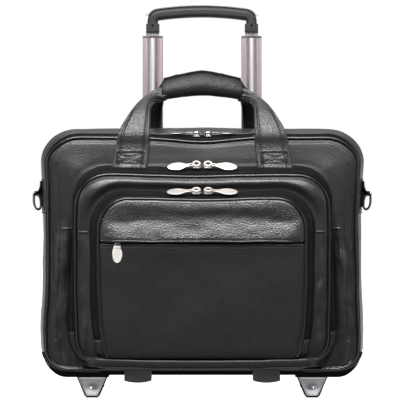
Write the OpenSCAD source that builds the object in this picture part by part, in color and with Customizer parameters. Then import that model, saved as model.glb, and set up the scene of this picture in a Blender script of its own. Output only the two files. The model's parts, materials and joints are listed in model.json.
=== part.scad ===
// Rolling laptop case: a soft leather case on a wheeled trolley with a two-stage pull handle.
// X runs across the case, -Y is the front, +Z is up, and the floor is z = 0.

/* [Case body] */
// Width over the middle of the main compartment
body_w = 438; // [420:1:450]
// Height of the case top above the floor
body_top = 370; // [366:1:374]
// Height of the case bottom above the floor
body_bottom = 36; // [35:0.5:37]
// Y of the main front panel's outer face
panel_y = -44; // [-45:0.5:-43]
// Y of the joint between the two halves of the main zip
main_part_y = -26; // [-27:0.5:-25]
// Y of the main compartment's back face
back_y = 56; // [55.5:0.5:56.5]
// Leather and board wall thickness
wall = 3; // [2.5:0.1:3.2]

/* [Pockets] */
// Width of the large front pocket at its front face
pocket1_w = 336; // [326:1:340]
// Y of the large pocket's front face
pocket1_y = -77; // [-78:0.5:-76]
// Y of the large pocket's zip joint
pocket1_part_y = -57; // [-58:0.5:-56.5]
// Width of the small front pocket at its front face
pocket2_w = 272; // [266:1:280]
// Y of the small pocket's front face
pocket2_y = -100; // [-101:0.5:-99]
// Y of the small pocket's zip joint
pocket2_part_y = -88.5; // [-89:0.5:-88]
// Height of the slip pocket's mouth above the floor
slip_z = 214; // [200:1:225]

/* [Pull handle] */
// Distance between the two tubes of the pull handle
tube_pitch = 140.2; // [138:0.2:142]
// Y of the tube centres
tube_y = 69.5; // [69:0.25:70]
// Height of the middle tubes' upper ends as stored, partly drawn out
mid_top = 499.5; // [490:0.5:502]
// Height of the grip sockets' lower faces as stored
grip_base = 509; // [506:0.5:509]
// Radius of the grip's gentle arch
arch_r = 440; // [300:5:480]

/* [Wheels and feet] */
// Wheel radius
wheel_r = 30; // [29:0.5:30]
// Wheel width
wheel_w = 22; // [20:0.5:23]
// Distance between the two wheels' middles
wheel_pitch = 301; // [300:1:308]
// Y of the wheel axle
axle_y = 75; // [75:0.5:76]
// Axle radius
axle_r = 3; // [2.5:0.1:3.2]
// Distance between the two front bumpers' middles
bumper_pitch = 173.6; // [165:0.2:180]

/* [Carry handles] */
// Distance between the front straps at the case top
strap_pitch = 188; // [184:1:192]
// Width of the front straps where they leave the case
strap_w = 46; // [42:1:48]
// Length of the padded front grip
grip_len = 112; // [108:1:114]
// Height of the padded front grip
grip_h = 32; // [28:1:34]

/* [Hidden] */

gap = 0.2;              // half the play between two halves that part
zip_w = 7;              // width of one zip tape as it shows
zip_low = 80;           // height at which the main zip ends
pipe = 2.5;             // thickness of the piping
arc_steps = 8;          // segments in each outline corner
eps = 0.01;

// A section is [y, half width, bottom z, top z, bottom corner radius, top corner radius].
sec_front = [panel_y, body_w / 2 - 11, body_bottom + 1, body_top - 14, 28, 42];
sec_mid = [10, body_w / 2, body_bottom, body_top - 2, 32, 46];
sec_rear = [back_y, body_w / 2 - 3, body_bottom, body_top, 32, 44];
sec_cover = [86, body_w / 2 - 13, body_bottom + 6, body_top - 8, 30, 38];
p1_base = [panel_y, pocket1_w / 2 + 9, 47.6, 318, 40, 46];
p1_front = [pocket1_y, pocket1_w / 2, 47.6, 303, 40, 42];
p2_base = [pocket1_y, pocket2_w / 2 + 15, 60.2, 284, 8, 46];
p2_front = [pocket2_y, pocket2_w / 2, 60.2, 272, 8, 40];
band_hw = pocket2_w / 2 + 17;
tube_x = tube_pitch / 2;
wheel_x = wheel_pitch / 2;
well = [wheel_w / 2 + 7.2, 38, 66.2];   // half width, front y and top of a wheel well

function mix(a, b, y) = a + (b - a) * (y - a[0]) / (b[0] - a[0]);
function corner(cx, cz, r, from) =
    [for (i = [0:arc_steps]) let (t = from + 90 * i / arc_steps) [cx + r * cos(t), cz + r * sin(t)]];
function outline(s, grow) =
    let (hw = s[1] + grow, zb = s[2] - grow, zt = s[3] + grow, rb = s[4] + grow, rt = s[5] + grow)
    concat(corner(hw - rb, zb + rb, rb, -90), corner(hw - rt, zt - rt, rt, 0),
           corner(-hw + rt, zt - rt, rt, 90), corner(-hw + rb, zb + rb, rb, 180));

// Solid between consecutive sections, each outline grown by the same amount.
module loft(sections, grow = 0) {
    n = 4 * (arc_steps + 1);
    m = len(sections);
    points = [for (s = sections) for (p = outline(s, grow)) [p[0], s[0], p[1]]];
    caps = [[for (i = [0:n - 1]) n - 1 - i], [for (i = [0:n - 1]) (m - 1) * n + i]];
    sides = [for (k = [0:m - 2]) for (i = [0:n - 1]) let (j = (i + 1) % n)
        for (f = [[k * n + i, k * n + j, (k + 1) * n + j],
                  [k * n + i, (k + 1) * n + j, (k + 1) * n + i]]) f];
    polyhedron(points, concat(caps, sides), convexity = 4);
}

function moved(s, y) = concat([y], [for (i = [1:5]) s[i]]);

// Hollow ring of the given wall between two sections.
module ring(a, b, t = wall) {
    difference() {
        loft([a, b]);
        loft([moved(a, a[0] - 1), a, b, moved(b, b[0] + 1)], -t);
    }
}

// Hollow tray with its floor at the front section and its mouth at the back section.
module cup(front, back, t) {
    difference() {
        loft([front, back]);
        loft([mix(front, back, front[0] + t), back, moved(back, back[0] + 1)], -t);
    }
}

module cyl_x(r, len, fn = 48) rotate([0, 90, 0]) cylinder(r = r, h = len, center = true, $fn = fn);
module cyl_y(r, len, fn = 48) rotate([90, 0, 0]) cylinder(r = r, h = len, center = true, $fn = fn);
module box(lo, hi) translate(lo) cube([for (i = [0:2]) hi[i] - lo[i]]);
module pair(x) for (side = [-1, 1]) translate([side * x, 0, 0]) children();
module wheel_wells() pair(wheel_x) box([-well[0], well[1], -1], [well[0], 120, well[2]]);

// ---- main compartment ----

module body_ring(y0, y1, upper) {
    z_cut = upper ? zip_low : -10;
    intersection() {
        ring(mix(sec_front, sec_mid, y0), mix(sec_front, sec_mid, y1));
        box([-300, y0 - 1, z_cut], [300, y1 + 1, upper ? 500 : zip_low - eps]);
    }
}

module case_shell() color("#1b1b1d") difference() {
    union() {
        difference() {
            loft([mix(sec_front, sec_mid, main_part_y + zip_w), sec_mid, sec_rear]);
            loft([moved(mix(sec_front, sec_mid, main_part_y + zip_w), main_part_y), 
                  mix(sec_front, sec_mid, main_part_y + zip_w), sec_mid,
                  moved(sec_rear, back_y - wall)], -wall);
        }
        body_ring(main_part_y + gap, main_part_y + zip_w, false);
    }
    wheel_wells();
}

module main_zip_rear() color("#101012") body_ring(main_part_y + gap, main_part_y + zip_w, true);

tray_bottom = 28;                       // underside of the tray's corners
tray_mid_bottom = 31;                   // underside of the tray between its corners

// The moulded tray is wider and squarer at its corners than the leather body that sits in it.
function tray_section(s) = [s[0], s[1] + 0.6, tray_bottom, s[3], 28, s[5]];

module base_tray() color("#0c0c0d") difference() {
    intersection() {
        difference() {
            loft([for (s = [mix(sec_front, sec_mid, main_part_y + 2), sec_mid, sec_rear, sec_cover])
                tray_section(s)]);
            loft([mix(sec_front, sec_mid, main_part_y + 1), sec_mid, sec_rear,
                  moved(sec_cover, sec_cover[0] + 1)]);
        }
        box([-300, main_part_y + 2, 0], [300, sec_cover[0], 58]);
    }
    box([-128, -60, 0], [128, 120, tray_mid_bottom]);
    wheel_wells();
}

module laptop_sleeve() color("#2a2a2e") difference() {
    box([-186, 30, 68], [186, back_y - wall, 300]);
    box([-183, 33, 71], [183, back_y, 301]);
}

module back_cover() color("#1b1b1d") difference() {
    loft([sec_rear, sec_cover]);
    loft([moved(sec_rear, back_y - 1), sec_rear, mix(sec_rear, sec_cover, sec_cover[0] - wall)], -wall);
    wheel_wells();
    box([-97, back_y - 1, 340], [97, 84.2, 400]);
}

// ---- trolley frame ----

module tube_solid(w, d, rib, z0, z1) {
    translate([-w / 2, -d / 2, z0]) cube([w, d, z1 - z0]);
    if (rib > 0) translate([0, 0, z0]) cylinder(r = rib, h = z1 - z0, $fn = 64);
}

module hollow_tube(w, d, rib, t, z0, z1) difference() {
    tube_solid(w, d, rib, z0, z1);
    tube_solid(w - 2 * t, d - 2 * t, rib > 0 ? rib - t : 0, z0 - 1, z1 + 1);
}

module at_tubes() pair(tube_x) translate([0, tube_y, 0]) children();

module sleeve_tubes() color("#8d8f93") at_tubes() difference() {
    translate([-16.5, -11, 62]) cube([33, 22, 290]);
    tube_solid(29.4, 14, 9.7, 61, 353);
}

module tube_clamps() color("#17171a") at_tubes() for (z = [70, 290]) difference() {
    translate([-24, back_y + 2 - tube_y, z]) cube([48, 24.6, 24]);
    translate([-16.5, -11, z - 1]) cube([33, 22, 26]);
}

module top_bezel() color("#161618") difference() {
    box([-96, back_y + 2.5, 352], [96, 83.5, 371]);
    at_tubes() tube_solid(29.4, 14, 9.7, 340, 400);
}

module wheel_housing() {
    cheek_in = wheel_w / 2 + 2;
    difference() {
        union() {
            box([-well[0], well[1], 34], [well[0], 86, well[2]]);
            cyl_at_axle(12, 2 * well[0]);
        }
        box([-cheek_in, well[1] - 1, -1], [cheek_in, 120, well[2] - 3]);
        cyl_at_axle(axle_r, 60);
    }
    box([-cheek_in, well[1], 36], [cheek_in, well[1] + 3, well[2] - 3]);
}
module cyl_at_axle(r, len) translate([0, axle_y, wheel_r]) cyl_x(r, len);

module wheel_housings() color("#151517") pair(wheel_x) wheel_housing();
module axles() color("#c8c9cc") pair(wheel_x) cyl_at_axle(axle_r, 2 * well[0]);

module foot_prism(top_hw, low_hw, y0, y1)
    rotate([90, 0, 0]) translate([0, 0, -y1]) linear_extrude(y1 - y0)
        polygon([[-low_hw + 3, 0], [low_hw - 3, 0], [low_hw, 3], [top_hw, 28], [-top_hw, 28], [-low_hw, 3]]);

module stand_feet() color("#131315") pair(wheel_x) foot_prism(21, 10.4, -21.5, 2);
module foot_covers() color("#b4b2b8") pair(wheel_x) difference() {
    union() {
        intersection() {
            foot_prism(20, 9.4, -23.5, -21.5);
            box([-30, -30, 1.2], [30, 0, 28]);
        }
        intersection() {
            translate([0, -13.5, 11]) sphere(r = 12, $fn = 48);
            box([-9, -26, 2], [9, -22, 24]);
        }
    }
}

module tyre(x) color("#101011") translate([x, axle_y, wheel_r]) rotate([0, 90, 0]) rotate_extrude($fn = 96)
    polygon([[21, -wheel_w / 2 + 1], [wheel_r - 4, -wheel_w / 2], [wheel_r - 1, -wheel_w / 2 + 3],
             [wheel_r, -wheel_w / 2 + 7], [wheel_r, wheel_w / 2 - 7], [wheel_r - 1, wheel_w / 2 - 3],
             [wheel_r - 4, wheel_w / 2], [21, wheel_w / 2 - 1]]);

module hub(x) color("#9a9ca0") translate([x, axle_y, wheel_r]) rotate([0, 90, 0]) difference() {
    union() {
        cylinder(r = 21, h = wheel_w - 8, center = true, $fn = 96);
        cylinder(r = 8, h = wheel_w + 2, center = true, $fn = 48);
    }
    cylinder(r = axle_r + 0.06, h = 60, center = true, $fn = 48);
    for (a = [0:60:300])
        rotate([0, 0, a]) translate([14.5, 0, 0]) cylinder(r = 3.6, h = 40, center = true, $fn = 32);
}

// ---- front panel ----

module front_panel() color("#1d1d1f") difference() {
    cup(sec_front, mix(sec_front, sec_mid, main_part_y - gap), wall);
    box([-300, main_part_y - zip_w, zip_low], [300, 0, 500]);
}

module main_zip_front() color("#101012") body_ring(main_part_y - zip_w, main_part_y - gap, true);

// Piping round the edge of a face, with the tapering side behind that edge cut out of it.
module piping(s, behind, y0, y1) difference() {
    loft([moved(s, y0), moved(s, y1)], pipe);
    loft([moved(s, y0 - 1), s, mix(s, behind, y1 + 1)]);
}

module main_piping() color("#232326") difference() {
    piping(sec_front, sec_mid, panel_y - 1.5, panel_y + 1.5);
    box([-150, -60, 0], [150, 0, 80]);
}

module pocket1_back() color("#151517") ring(mix(p1_base, p1_front, pocket1_part_y + gap), p1_base, 2.4);

module organizer() color("#26262a") {
    box([-150, panel_y - 3, 70], [150, panel_y, 240]);
    for (x = [60, 78, 96]) difference() {
        translate([x, panel_y - 5, 175]) cylinder(r = 8.2, h = 45, $fn = 32);
        translate([x, panel_y - 5, 174]) cylinder(r = 6.7, h = 47, $fn = 32);
        box([x - 10, panel_y - 3, 170], [x + 10, panel_y + 5, 230]);
    }
}

module bumpers() color("#242426") pair(bumper_pitch / 2) {
    box([-18.2, pocket1_part_y + 1, 27], [18.2, -30, body_bottom + 0.6]);
    box([-18.2, pocket1_part_y + 1, 30], [18.2, panel_y - 0.3, 46]);
    intersection() {
        translate([0, -43, 27 + 58]) cyl_y(61.3, 24, 128);
        box([-18.2, pocket1_part_y + 1, 20], [18.2, -31, 27]);
    }
}

// ---- carry handles ----

module front_handle_anchors() color("#1f1f21") pair(strap_pitch / 2)
    box([-strap_w / 2, panel_y - 2.6, 319], [strap_w / 2, panel_y, 349]);

module strap_pad(x, y, z, w, d, tilt = 0)
    translate([x, y, z]) rotate([tilt, 0, 0]) cube([w, d, 1.5], center = true);

module front_handle_straps() color("#1f1f21") for (side = [-1, 1]) mirror([side < 0 ? 1 : 0, 0, 0]) {
    hull() {
        strap_pad(strap_pitch / 2, -48, 351.4, strap_w, 3.2);
        strap_pad(strap_pitch / 2 - 2, -48, 361, strap_w - 3, 3.2);
    }
    hull() {
        strap_pad(strap_pitch / 2 - 2, -48, 361, strap_w - 3, 3.2);
        strap_pad(84, -31, 390, 32, 5);
    }
    hull() {
        strap_pad(84, -31, 390, 32, 5);
        translate([grip_len / 2 + 10, -8, 419]) sphere(r = 9, $fn = 20);
    }
    hull() {
        translate([grip_len / 2 + 10, -8, 419]) sphere(r = 9, $fn = 20);
        translate([grip_len / 2 + 0.6, -2, 423]) cyl_x(11, 1, 24);
    }
}

module front_handle_grip() color("#212124") for (side = [-1, 1]) mirror([side < 0 ? 1 : 0, 0, 0]) hull() {
    translate([0.25, -2, 432]) scale([1, 0.8, 1]) cyl_x(grip_h / 2, 0.5, 32);
    translate([grip_len / 4, -2, 429.5]) scale([1, 0.8, 1]) cyl_x(grip_h / 2, 1, 32);
    translate([grip_len / 2 - 0.5, -2, 423]) scale([1, 0.8, 1]) cyl_x(grip_h / 2 - 1, 1, 32);
}

module rear_handle_anchors() color("#1f1f21")
    pair(72) box([-15, 43, body_top + 0.3], [15, 57, body_top + 2.8]);

module rear_handle() color("#151516") {
    for (side = [-1, 1]) mirror([side < 0 ? 1 : 0, 0, 0]) {
        hull() {
            strap_pad(72, 50, body_top + 4, 30, 4);
            strap_pad(66, 30, 418, 26, 6);
        }
        hull() {
            strap_pad(66, 30, 418, 26, 6);
            translate([51, 24, 430]) cyl_x(8.5, 1, 24);
        }
    }
    hull() for (x = [-51, 0, 51]) translate([x, 24, x == 0 ? 437 : 430]) cyl_x(x == 0 ? 10.5 : 8.5, 1, 24);
}

// ---- pockets ----

module pocket1_panel() color("#1c1c1e")
    cup(p1_front, mix(p1_base, p1_front, pocket1_part_y - zip_w), 2.4);

module pocket1_zip_front() color("#0f0f10")
    ring(mix(p1_base, p1_front, pocket1_part_y - zip_w), mix(p1_base, p1_front, pocket1_part_y - gap), 2.4);

module pocket1_piping() color("#242427") difference() {
    piping(p1_front, p1_base, pocket1_y - 1, pocket1_y + 2);
    box([-band_hw - 1, pocket1_y - 9, 0], [band_hw + 1, 0, 80]);
}

module bottom_band() color("#1c1c1e")
    box([-band_hw, pocket2_y, p1_front[2]], [band_hw, pocket1_y, p2_base[2] - 0.4]);

module pocket2_back() color("#151517") ring(mix(p2_base, p2_front, pocket2_part_y + gap), p2_base, 2.2);

module pocket2_panel() color("#202022") difference() {
    cup(p2_front, mix(p2_base, p2_front, pocket2_part_y - 4), 2.2);
    loft([p2_front, moved(p2_front, pocket2_y + 2.1)], -5);
}

module slip_panel() color("#17171a") intersection() {
    loft([p2_front, moved(p2_front, pocket2_y + 2)], -5.3);
    box([-300, pocket2_y - 1, 0], [300, 0, slip_z - 1.6]);
}

module pocket2_zip_front() color("#0f0f10")
    ring(mix(p2_base, p2_front, pocket2_part_y - 4), mix(p2_base, p2_front, pocket2_part_y - gap), 2.2);

module pocket2_piping() color("#242427") difference() {
    piping(p2_front, p2_base, pocket2_y - 1, pocket2_y + 2);
    box([-200, -120, 0], [200, 0, p2_front[2] + 2]);
}

// ---- pull handle ----

module mid_tubes() color("#c9b9bd") at_tubes() hollow_tube(28.4, 13, 9.2, 1.2, mid_top - 328, mid_top);

module mid_collars() color("#3b3436") at_tubes() difference() {
    tube_solid(28.4, 13, 9.2, mid_top, mid_top + 3);
    tube_solid(19.2, 10, 0, mid_top - 1, mid_top + 4);
}

module inner_tubes() color("#cfcdd0") at_tubes() hollow_tube(18.6, 9.4, 0, 1.1, mid_top - 323, grip_base);

grip_mid = grip_base + 28;              // height of the grip's centre line at its middle
arch_z = grip_mid - arch_r;             // centre height of the arch
elbow_r = 9;                            // bend radius between the arch and a leg
elbow_x = tube_x - elbow_r;
elbow_half = asin(elbow_x / (arch_r - elbow_r));
elbow_z = arch_z + (arch_r - elbow_r) * cos(elbow_half);
grip_t = 7.5;                           // half the grip's height as the arch is seen

// Closed profile with rounded corners: u0 and u1 are measured outwards from the handle's centre line.
function grip_profile(u0, u1, half, r) =
    [for (c = [[u1 - r, half - r, 0], [u0 + r, half - r, 90],
               [u0 + r, r - half, 180], [u1 - r, r - half, 270]])
        for (i = [0:4]) let (t = c[2] + i * 22.5) [c[0] + r * cos(t), c[1] + r * sin(t)]];

// Centre line of the grip where its outward direction makes the given angle with +X.
function grip_line(turn) =
    turn < 90 - elbow_half ? [elbow_x + elbow_r * cos(turn), elbow_z + elbow_r * sin(turn)] :
    turn > 90 + elbow_half ? [-elbow_x + elbow_r * cos(turn), elbow_z + elbow_r * sin(turn)] :
    [arch_r * cos(turn), arch_z + arch_r * sin(turn)];

// Stations along the grip from the given angle to its mirror image, with the arch in finer steps.
function grip_turns(from) = concat(
    [for (i = [0:6]) from + (90 - elbow_half - from) * i / 7],
    [for (i = [0:16]) 90 - elbow_half + elbow_half * i / 8],
    [for (i = [1:7]) 90 + elbow_half + (90 - elbow_half - from) * i / 7]);

module grip_sweep(profile, from, leg) {
    n = len(profile);
    turns = grip_turns(from);
    body = [for (t = turns) let (c = grip_line(t)) [c[0], c[1], t]];
    legs = [[tube_x, elbow_z - leg, 0], [-tube_x, elbow_z - leg, 180]];
    stations = leg > 0 ? concat([legs[0]], body, [legs[1]]) : body;
    m = len(stations);
    points = [for (s = stations) for (p = profile)
        [s[0] + p[0] * cos(s[2]), tube_y + p[1], s[1] + p[0] * sin(s[2])]];
    caps = [[for (i = [0:n - 1]) i], [for (i = [0:n - 1]) m * n - 1 - i]];
    sides = [for (k = [0:m - 2]) for (i = [0:n - 1]) let (j = (i + 1) % n)
        for (f = [[k * n + j, k * n + i, (k + 1) * n + i],
                  [k * n + j, (k + 1) * n + i, (k + 1) * n + j]]) f];
    polyhedron(points, concat(caps, sides), convexity = 4);
}

module arch(half) translate([0, tube_y, arch_z]) rotate([90, 0, 0])
    rotate([0, 0, 90 - half]) rotate_extrude(angle = 2 * half, $fn = 180) translate([arch_r, 0]) children();

module button_well() box([-19.6, tube_y - 4.6, grip_mid + 5.5], [19.6, tube_y + 4.6, grip_mid + 29.5]);

module grip_body() color("#3a3a3c") difference() {
    union() {
        grip_sweep(grip_profile(-grip_t, grip_t, 8, 5), 0, elbow_z - grip_base - 1);
        at_tubes() {
            translate([-9.3, -8.6, grip_base]) cube([18.6, 17.2, elbow_z - grip_base - 4]);
            translate([-8, -3.4, grip_base - 18]) cube([16, 6.8, 19]);
        }
    }
    arch(asin(75 / arch_r)) translate([-5, -2.5]) square([7.4, 5]);
    at_tubes() translate([0, 0, grip_base - 20]) cylinder(r = 2.3, h = 42, $fn = 32);
    box([-3.5, tube_y - 3.5, grip_mid - 2], [3.5, tube_y + 3.5, grip_mid + 19.5]);
}

module grip_cover() color("#d6d6d8") difference() {
    grip_sweep(grip_profile(grip_t + 0.05, grip_t + 5.4, 6.6, 2.4), 26, 0);
    button_well();
}

module release_button() color("#c4c4c8") {
    box([-19, tube_y - 4, grip_mid + 11.2], [19, tube_y + 4, grip_mid + 15]);
    box([-3, tube_y - 3, grip_mid + 2], [3, tube_y + 3, grip_mid + 11.2]);
}

module push_rods() color("#a5a7ab") {
    arch(asin(71.8 / arch_r)) translate([-1.5, -2]) square([3.5, 4]);
    at_tubes() translate([0, 0, mid_top - 300])
        cylinder(r = 1.75, h = elbow_z + 6 - mid_top + 300, $fn = 24);
}

// ---- shoulder strap rings ----

ring_x = 227;
ring_y = 3;
ring_z = 279;
ring_turn = 22;

module at_ring(side) translate([side * ring_x, ring_y, ring_z]) rotate([0, 0, side * ring_turn]) children();

module ring_tabs() color("#1d1d1f") for (side = [-1, 1]) {
    mirror([side < 0 ? 1 : 0, 0, 0])
        box([body_w / 2 + 0.2, -14, 250], [body_w / 2 + 2.7, 8.5, 300]);
    difference() {
        union() {
            at_ring(side) cyl_y(3.8, 13);
            at_ring(side) mirror([side < 0 ? 1 : 0, 0, 0]) box([-7, -6.5, -3], [0, 1, 3]);
        }
        at_ring(side) cyl_y(1.85, 40);
        mirror([side < 0 ? 1 : 0, 0, 0]) box([200, -20, 240], [body_w / 2 + 2.7, 30, 310]);
    }
}

module d_ring(side) color("#a8a4a6") at_ring(side) {
    cyl_y(1.75, 24);
    for (y = [-12, 12]) {
        translate([0, y, 0]) sphere(r = 1.75, $fn = 32);
        translate([0, y, -10]) cylinder(r = 1.75, h = 10, $fn = 32);
    }
    translate([0, 0, -10]) rotate([0, 90, 0]) rotate([0, 0, -90])
        rotate_extrude(angle = 180, $fn = 96) translate([12, 0]) circle(r = 1.75, $fn = 32);
}

// ---- zip sliders and pulls: local X runs along the zip, local Z stands off the tape ----

pivot_h = 5.2;

module slider_block() color("#cfcac6") {
    translate([-6, -4.5, 0.4]) cube([12, 9, 2.4]);
    for (y = [-3.4, 2.2]) translate([-1.8, y, 2.8]) cube([3.6, 1.2, 3.8]);
    translate([0, 0, pivot_h]) cyl_y(0.8, 6.8, 24);
}

// The plate leans about its own length, as a pull on a loose ring does.
module pull_plate(lean = 0) color("#dcd7d3") difference() {
    union() {
        translate([0, 0, pivot_h]) cyl_y(1.7, 3.8, 24);
        translate([1, -1.9, pivot_h - 0.8]) cube([7, 3.8, 1.6]);
        translate([0, 0, pivot_h]) rotate([lean, 0, 0]) {
            translate([5, -1.9, -0.8]) cube([9, 3.8, 1.6]);
            translate([0, 0, -0.8]) linear_extrude(1.6) polygon([for (i = [0:35]) let (t = i * 10)
                [25 + 14 * cos(t), 5.8 * sin(t) * (1 + 0.14 * cos(t))]]);
        }
    }
    translate([0, 0, pivot_h]) cyl_y(0.88, 10, 24);
}

// Puts children on the top run of a zip: x of the slider, then the slope and joint of its gusset.
module on_zip(x, a, b, part_y) {
    s = mix(a, b, part_y);
    slope = atan2(a[3] - b[3], a[0] - b[0]);
    translate([x, part_y, s[3]]) rotate([slope, 0, 0]) mirror([x < 0 ? 1 : 0, 0, 0]) children();
}

slider_x = 8;

module main_slider(x) on_zip(x, sec_mid, sec_front, main_part_y) slider_block();
module main_pull(x) on_zip(x, sec_mid, sec_front, main_part_y) pull_plate();
module pocket1_slider(x) on_zip(x, p1_base, p1_front, pocket1_part_y) slider_block();
module pocket1_pull(x) on_zip(x, p1_base, p1_front, pocket1_part_y) pull_plate(34);
module pocket2_slider(x) on_zip(x, p2_base, p2_front, pocket2_part_y) slider_block();
module pocket2_pull(x) on_zip(x, p2_base, p2_front, pocket2_part_y) pull_plate(12);

slip_x = -112;
module slip_slider() color("#cfcac6") translate([slip_x, pocket2_y, slip_z]) {
    box([-4.2, -1.6, -3], [4.2, -0.3, 5]);
    for (x = [-3.6, 2.4]) box([x, -4.2, -0.6], [x + 1.2, -1.5, 3]);
    translate([0, -3.4, 1.2]) cyl_x(0.8, 7.2, 24);
}
module slip_pull() color("#dcd7d3") translate([slip_x, pocket2_y - 3.4, slip_z + 1.2]) difference() {
    union() {
        cyl_x(1.7, 4.2, 24);
        box([-1.9, -1.6, -5], [1.9, 0, -1]);
        rotate([90, 0, 0]) linear_extrude(1.6) polygon([for (i = [0:35]) let (t = i * 10)
            [5 * sin(t) * (1 - 0.14 * cos(t)), -15.6 + 12.8 * cos(t)]]);
    }
    cyl_x(0.88, 20, 24);
}

case_shell();
base_tray();
back_cover();
sleeve_tubes();
tube_clamps();
top_bezel();
wheel_housings();
stand_feet();
foot_covers();
axles();
ring_tabs();
main_zip_rear();
laptop_sleeve();
rear_handle_anchors();
front_panel();
main_zip_front();
main_piping();
pocket1_back();
organizer();
bumpers();
front_handle_anchors();
front_handle_straps();
front_handle_grip();
rear_handle();
pocket1_panel();
pocket1_zip_front();
pocket1_piping();
bottom_band();
pocket2_back();
pocket2_panel();
slip_panel();
pocket2_piping();
pocket2_zip_front();
mid_tubes();
mid_collars();
inner_tubes();
grip_body();
grip_cover();
release_button();
push_rods();
tyre(-wheel_x);  // tyre_left
hub(-wheel_x);  // hub_left
tyre(wheel_x);  // tyre_right
hub(wheel_x);  // hub_right
d_ring(-1);  // d_ring_left
d_ring(1);  // d_ring_right
main_slider(-slider_x);  // main_slider_left
main_slider(slider_x);  // main_slider_right
pocket1_slider(-slider_x);  // pocket1_slider_left
pocket1_slider(slider_x);  // pocket1_slider_right
pocket2_slider(-slider_x);  // pocket2_slider_left
pocket2_slider(slider_x);  // pocket2_slider_right
slip_slider();
main_pull(-slider_x);  // main_pull_left
main_pull(slider_x);  // main_pull_right
pocket1_pull(-slider_x);  // pocket1_pull_left
pocket1_pull(slider_x);  // pocket1_pull_right
pocket2_pull(-slider_x);  // pocket2_pull_left
pocket2_pull(slider_x);  // pocket2_pull_right
slip_pull();
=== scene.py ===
import json
import math
import bmesh
import bpy
import mathutils
import numpy as np
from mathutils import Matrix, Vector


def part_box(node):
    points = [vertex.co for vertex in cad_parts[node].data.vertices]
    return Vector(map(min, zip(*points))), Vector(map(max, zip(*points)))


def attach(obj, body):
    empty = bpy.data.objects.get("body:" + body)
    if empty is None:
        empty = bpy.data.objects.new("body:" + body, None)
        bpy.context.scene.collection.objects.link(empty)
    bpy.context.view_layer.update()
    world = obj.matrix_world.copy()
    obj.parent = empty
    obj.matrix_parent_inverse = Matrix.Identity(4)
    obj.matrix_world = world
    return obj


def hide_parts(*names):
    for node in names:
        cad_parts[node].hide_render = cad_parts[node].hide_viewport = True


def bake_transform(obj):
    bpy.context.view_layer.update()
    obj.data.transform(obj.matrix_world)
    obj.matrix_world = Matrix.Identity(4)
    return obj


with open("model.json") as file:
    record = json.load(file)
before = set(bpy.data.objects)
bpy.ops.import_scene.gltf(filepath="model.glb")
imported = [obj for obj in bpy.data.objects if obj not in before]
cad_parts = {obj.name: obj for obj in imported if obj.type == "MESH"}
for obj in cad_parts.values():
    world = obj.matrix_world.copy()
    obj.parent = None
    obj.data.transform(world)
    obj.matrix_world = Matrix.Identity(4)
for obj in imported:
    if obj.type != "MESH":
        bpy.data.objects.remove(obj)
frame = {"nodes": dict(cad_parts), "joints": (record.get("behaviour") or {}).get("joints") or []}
nodes = frame["nodes"]
joints = {j["name"]: j for j in frame["joints"]}
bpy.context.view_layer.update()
MM = 0.001
FORWARD = np.array([0, -1.0, 0])


# ---------------------------------------------------------------- numbers and noise

def smooth(t):
    """0 below 0, 1 above 1 and a soft step between."""
    t = np.clip(t, 0.0, 1.0)
    return t * t * (3 - 2 * t)


def hump(v, centre, width):
    """1 at the centre, falling away over the width on both sides."""
    return np.exp(-((v - centre) / width) ** 2)


def unit(v):
    """Vectors scaled to length 1."""
    return v / np.linalg.norm(v, axis=-1, keepdims=True)


def around(n):
    """n angles, evenly spread over a full turn."""
    return np.linspace(0, 2 * np.pi, n, endpoint=False)


def squared(v, power):
    """Moves a sine or cosine towards -1 and 1, which gives a round outline squarer corners."""
    return np.sign(v) * np.abs(v) ** power


def flat_points(x, z):
    """Points in the plane y = 0."""
    return np.stack([x, 0 * x, z], axis=-1)


RNG = np.random.default_rng(11)
PERM = np.tile(RNG.permutation(256), 3)
GRAD = unit(RNG.normal(size=(256, 3)))


def noise(P, scale, seed):
    """Gradient noise between about -1 and 1. The scale is the size of one wave, in mm, along each axis."""
    Q = np.asarray(P, float) / np.asarray(scale, float) + 17.31 * seed + 0.37
    cell = np.floor(Q).astype(int)
    f = Q - cell
    w = f * f * f * (f * (f * 6 - 15) + 10)
    out = np.zeros(Q.shape[:-1])
    for dx in (0, 1):
        for dy in (0, 1):
            for dz in (0, 1):
                d = np.array([dx, dy, dz])
                c = (cell + d) & 255
                g = GRAD[PERM[PERM[PERM[c[..., 0]] + c[..., 1]] + c[..., 2]]]
                weight = np.prod(np.where(d == 1, w, 1 - w), axis=-1)
                out += weight * np.sum(g * (f - d), axis=-1)
    return out * 1.6


def box(node):
    """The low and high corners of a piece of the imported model, in mm."""
    lo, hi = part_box(node)
    return np.array(lo) * 1000, np.array(hi) * 1000


# ---------------------------------------------------------------- sizes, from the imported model

pipe_lo, pipe_hi = box("main_piping")
shell_lo, shell_hi = box("case_shell")
cover_hi = box("back_cover")[1]
p1_hi = box("pocket1_piping")[1]
p2_hi = box("pocket2_piping")[1]
p1_base_lo, p1_base_hi = box("pocket1_back")
p2_base_lo, p2_base_hi = box("pocket2_back")
band_lo, band_hi = box("bottom_band")

# Radius of the piping, width of one side of a zip and how far its tape ends from the joint.
PIPE = 2.5
ZIP = 7.0
GAP = 0.3
ZIP_LOW = box("main_zip_rear")[0][2]

# Places along y: the front face, the faces of the two pockets, the back, and where each zip parts.
PANEL_Y = pipe_lo[1] + 1.5
P1_Y = box("pocket1_panel")[0][1]
P2_Y = box("pocket2_panel")[0][1]
BACK_Y = shell_hi[1]
PART_Y = box("main_zip_front")[1][1] + 0.2
P1_PART = box("pocket1_zip_front")[1][1] + 0.2
P2_PART = box("pocket2_zip_front")[1][1] + 0.2

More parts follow.
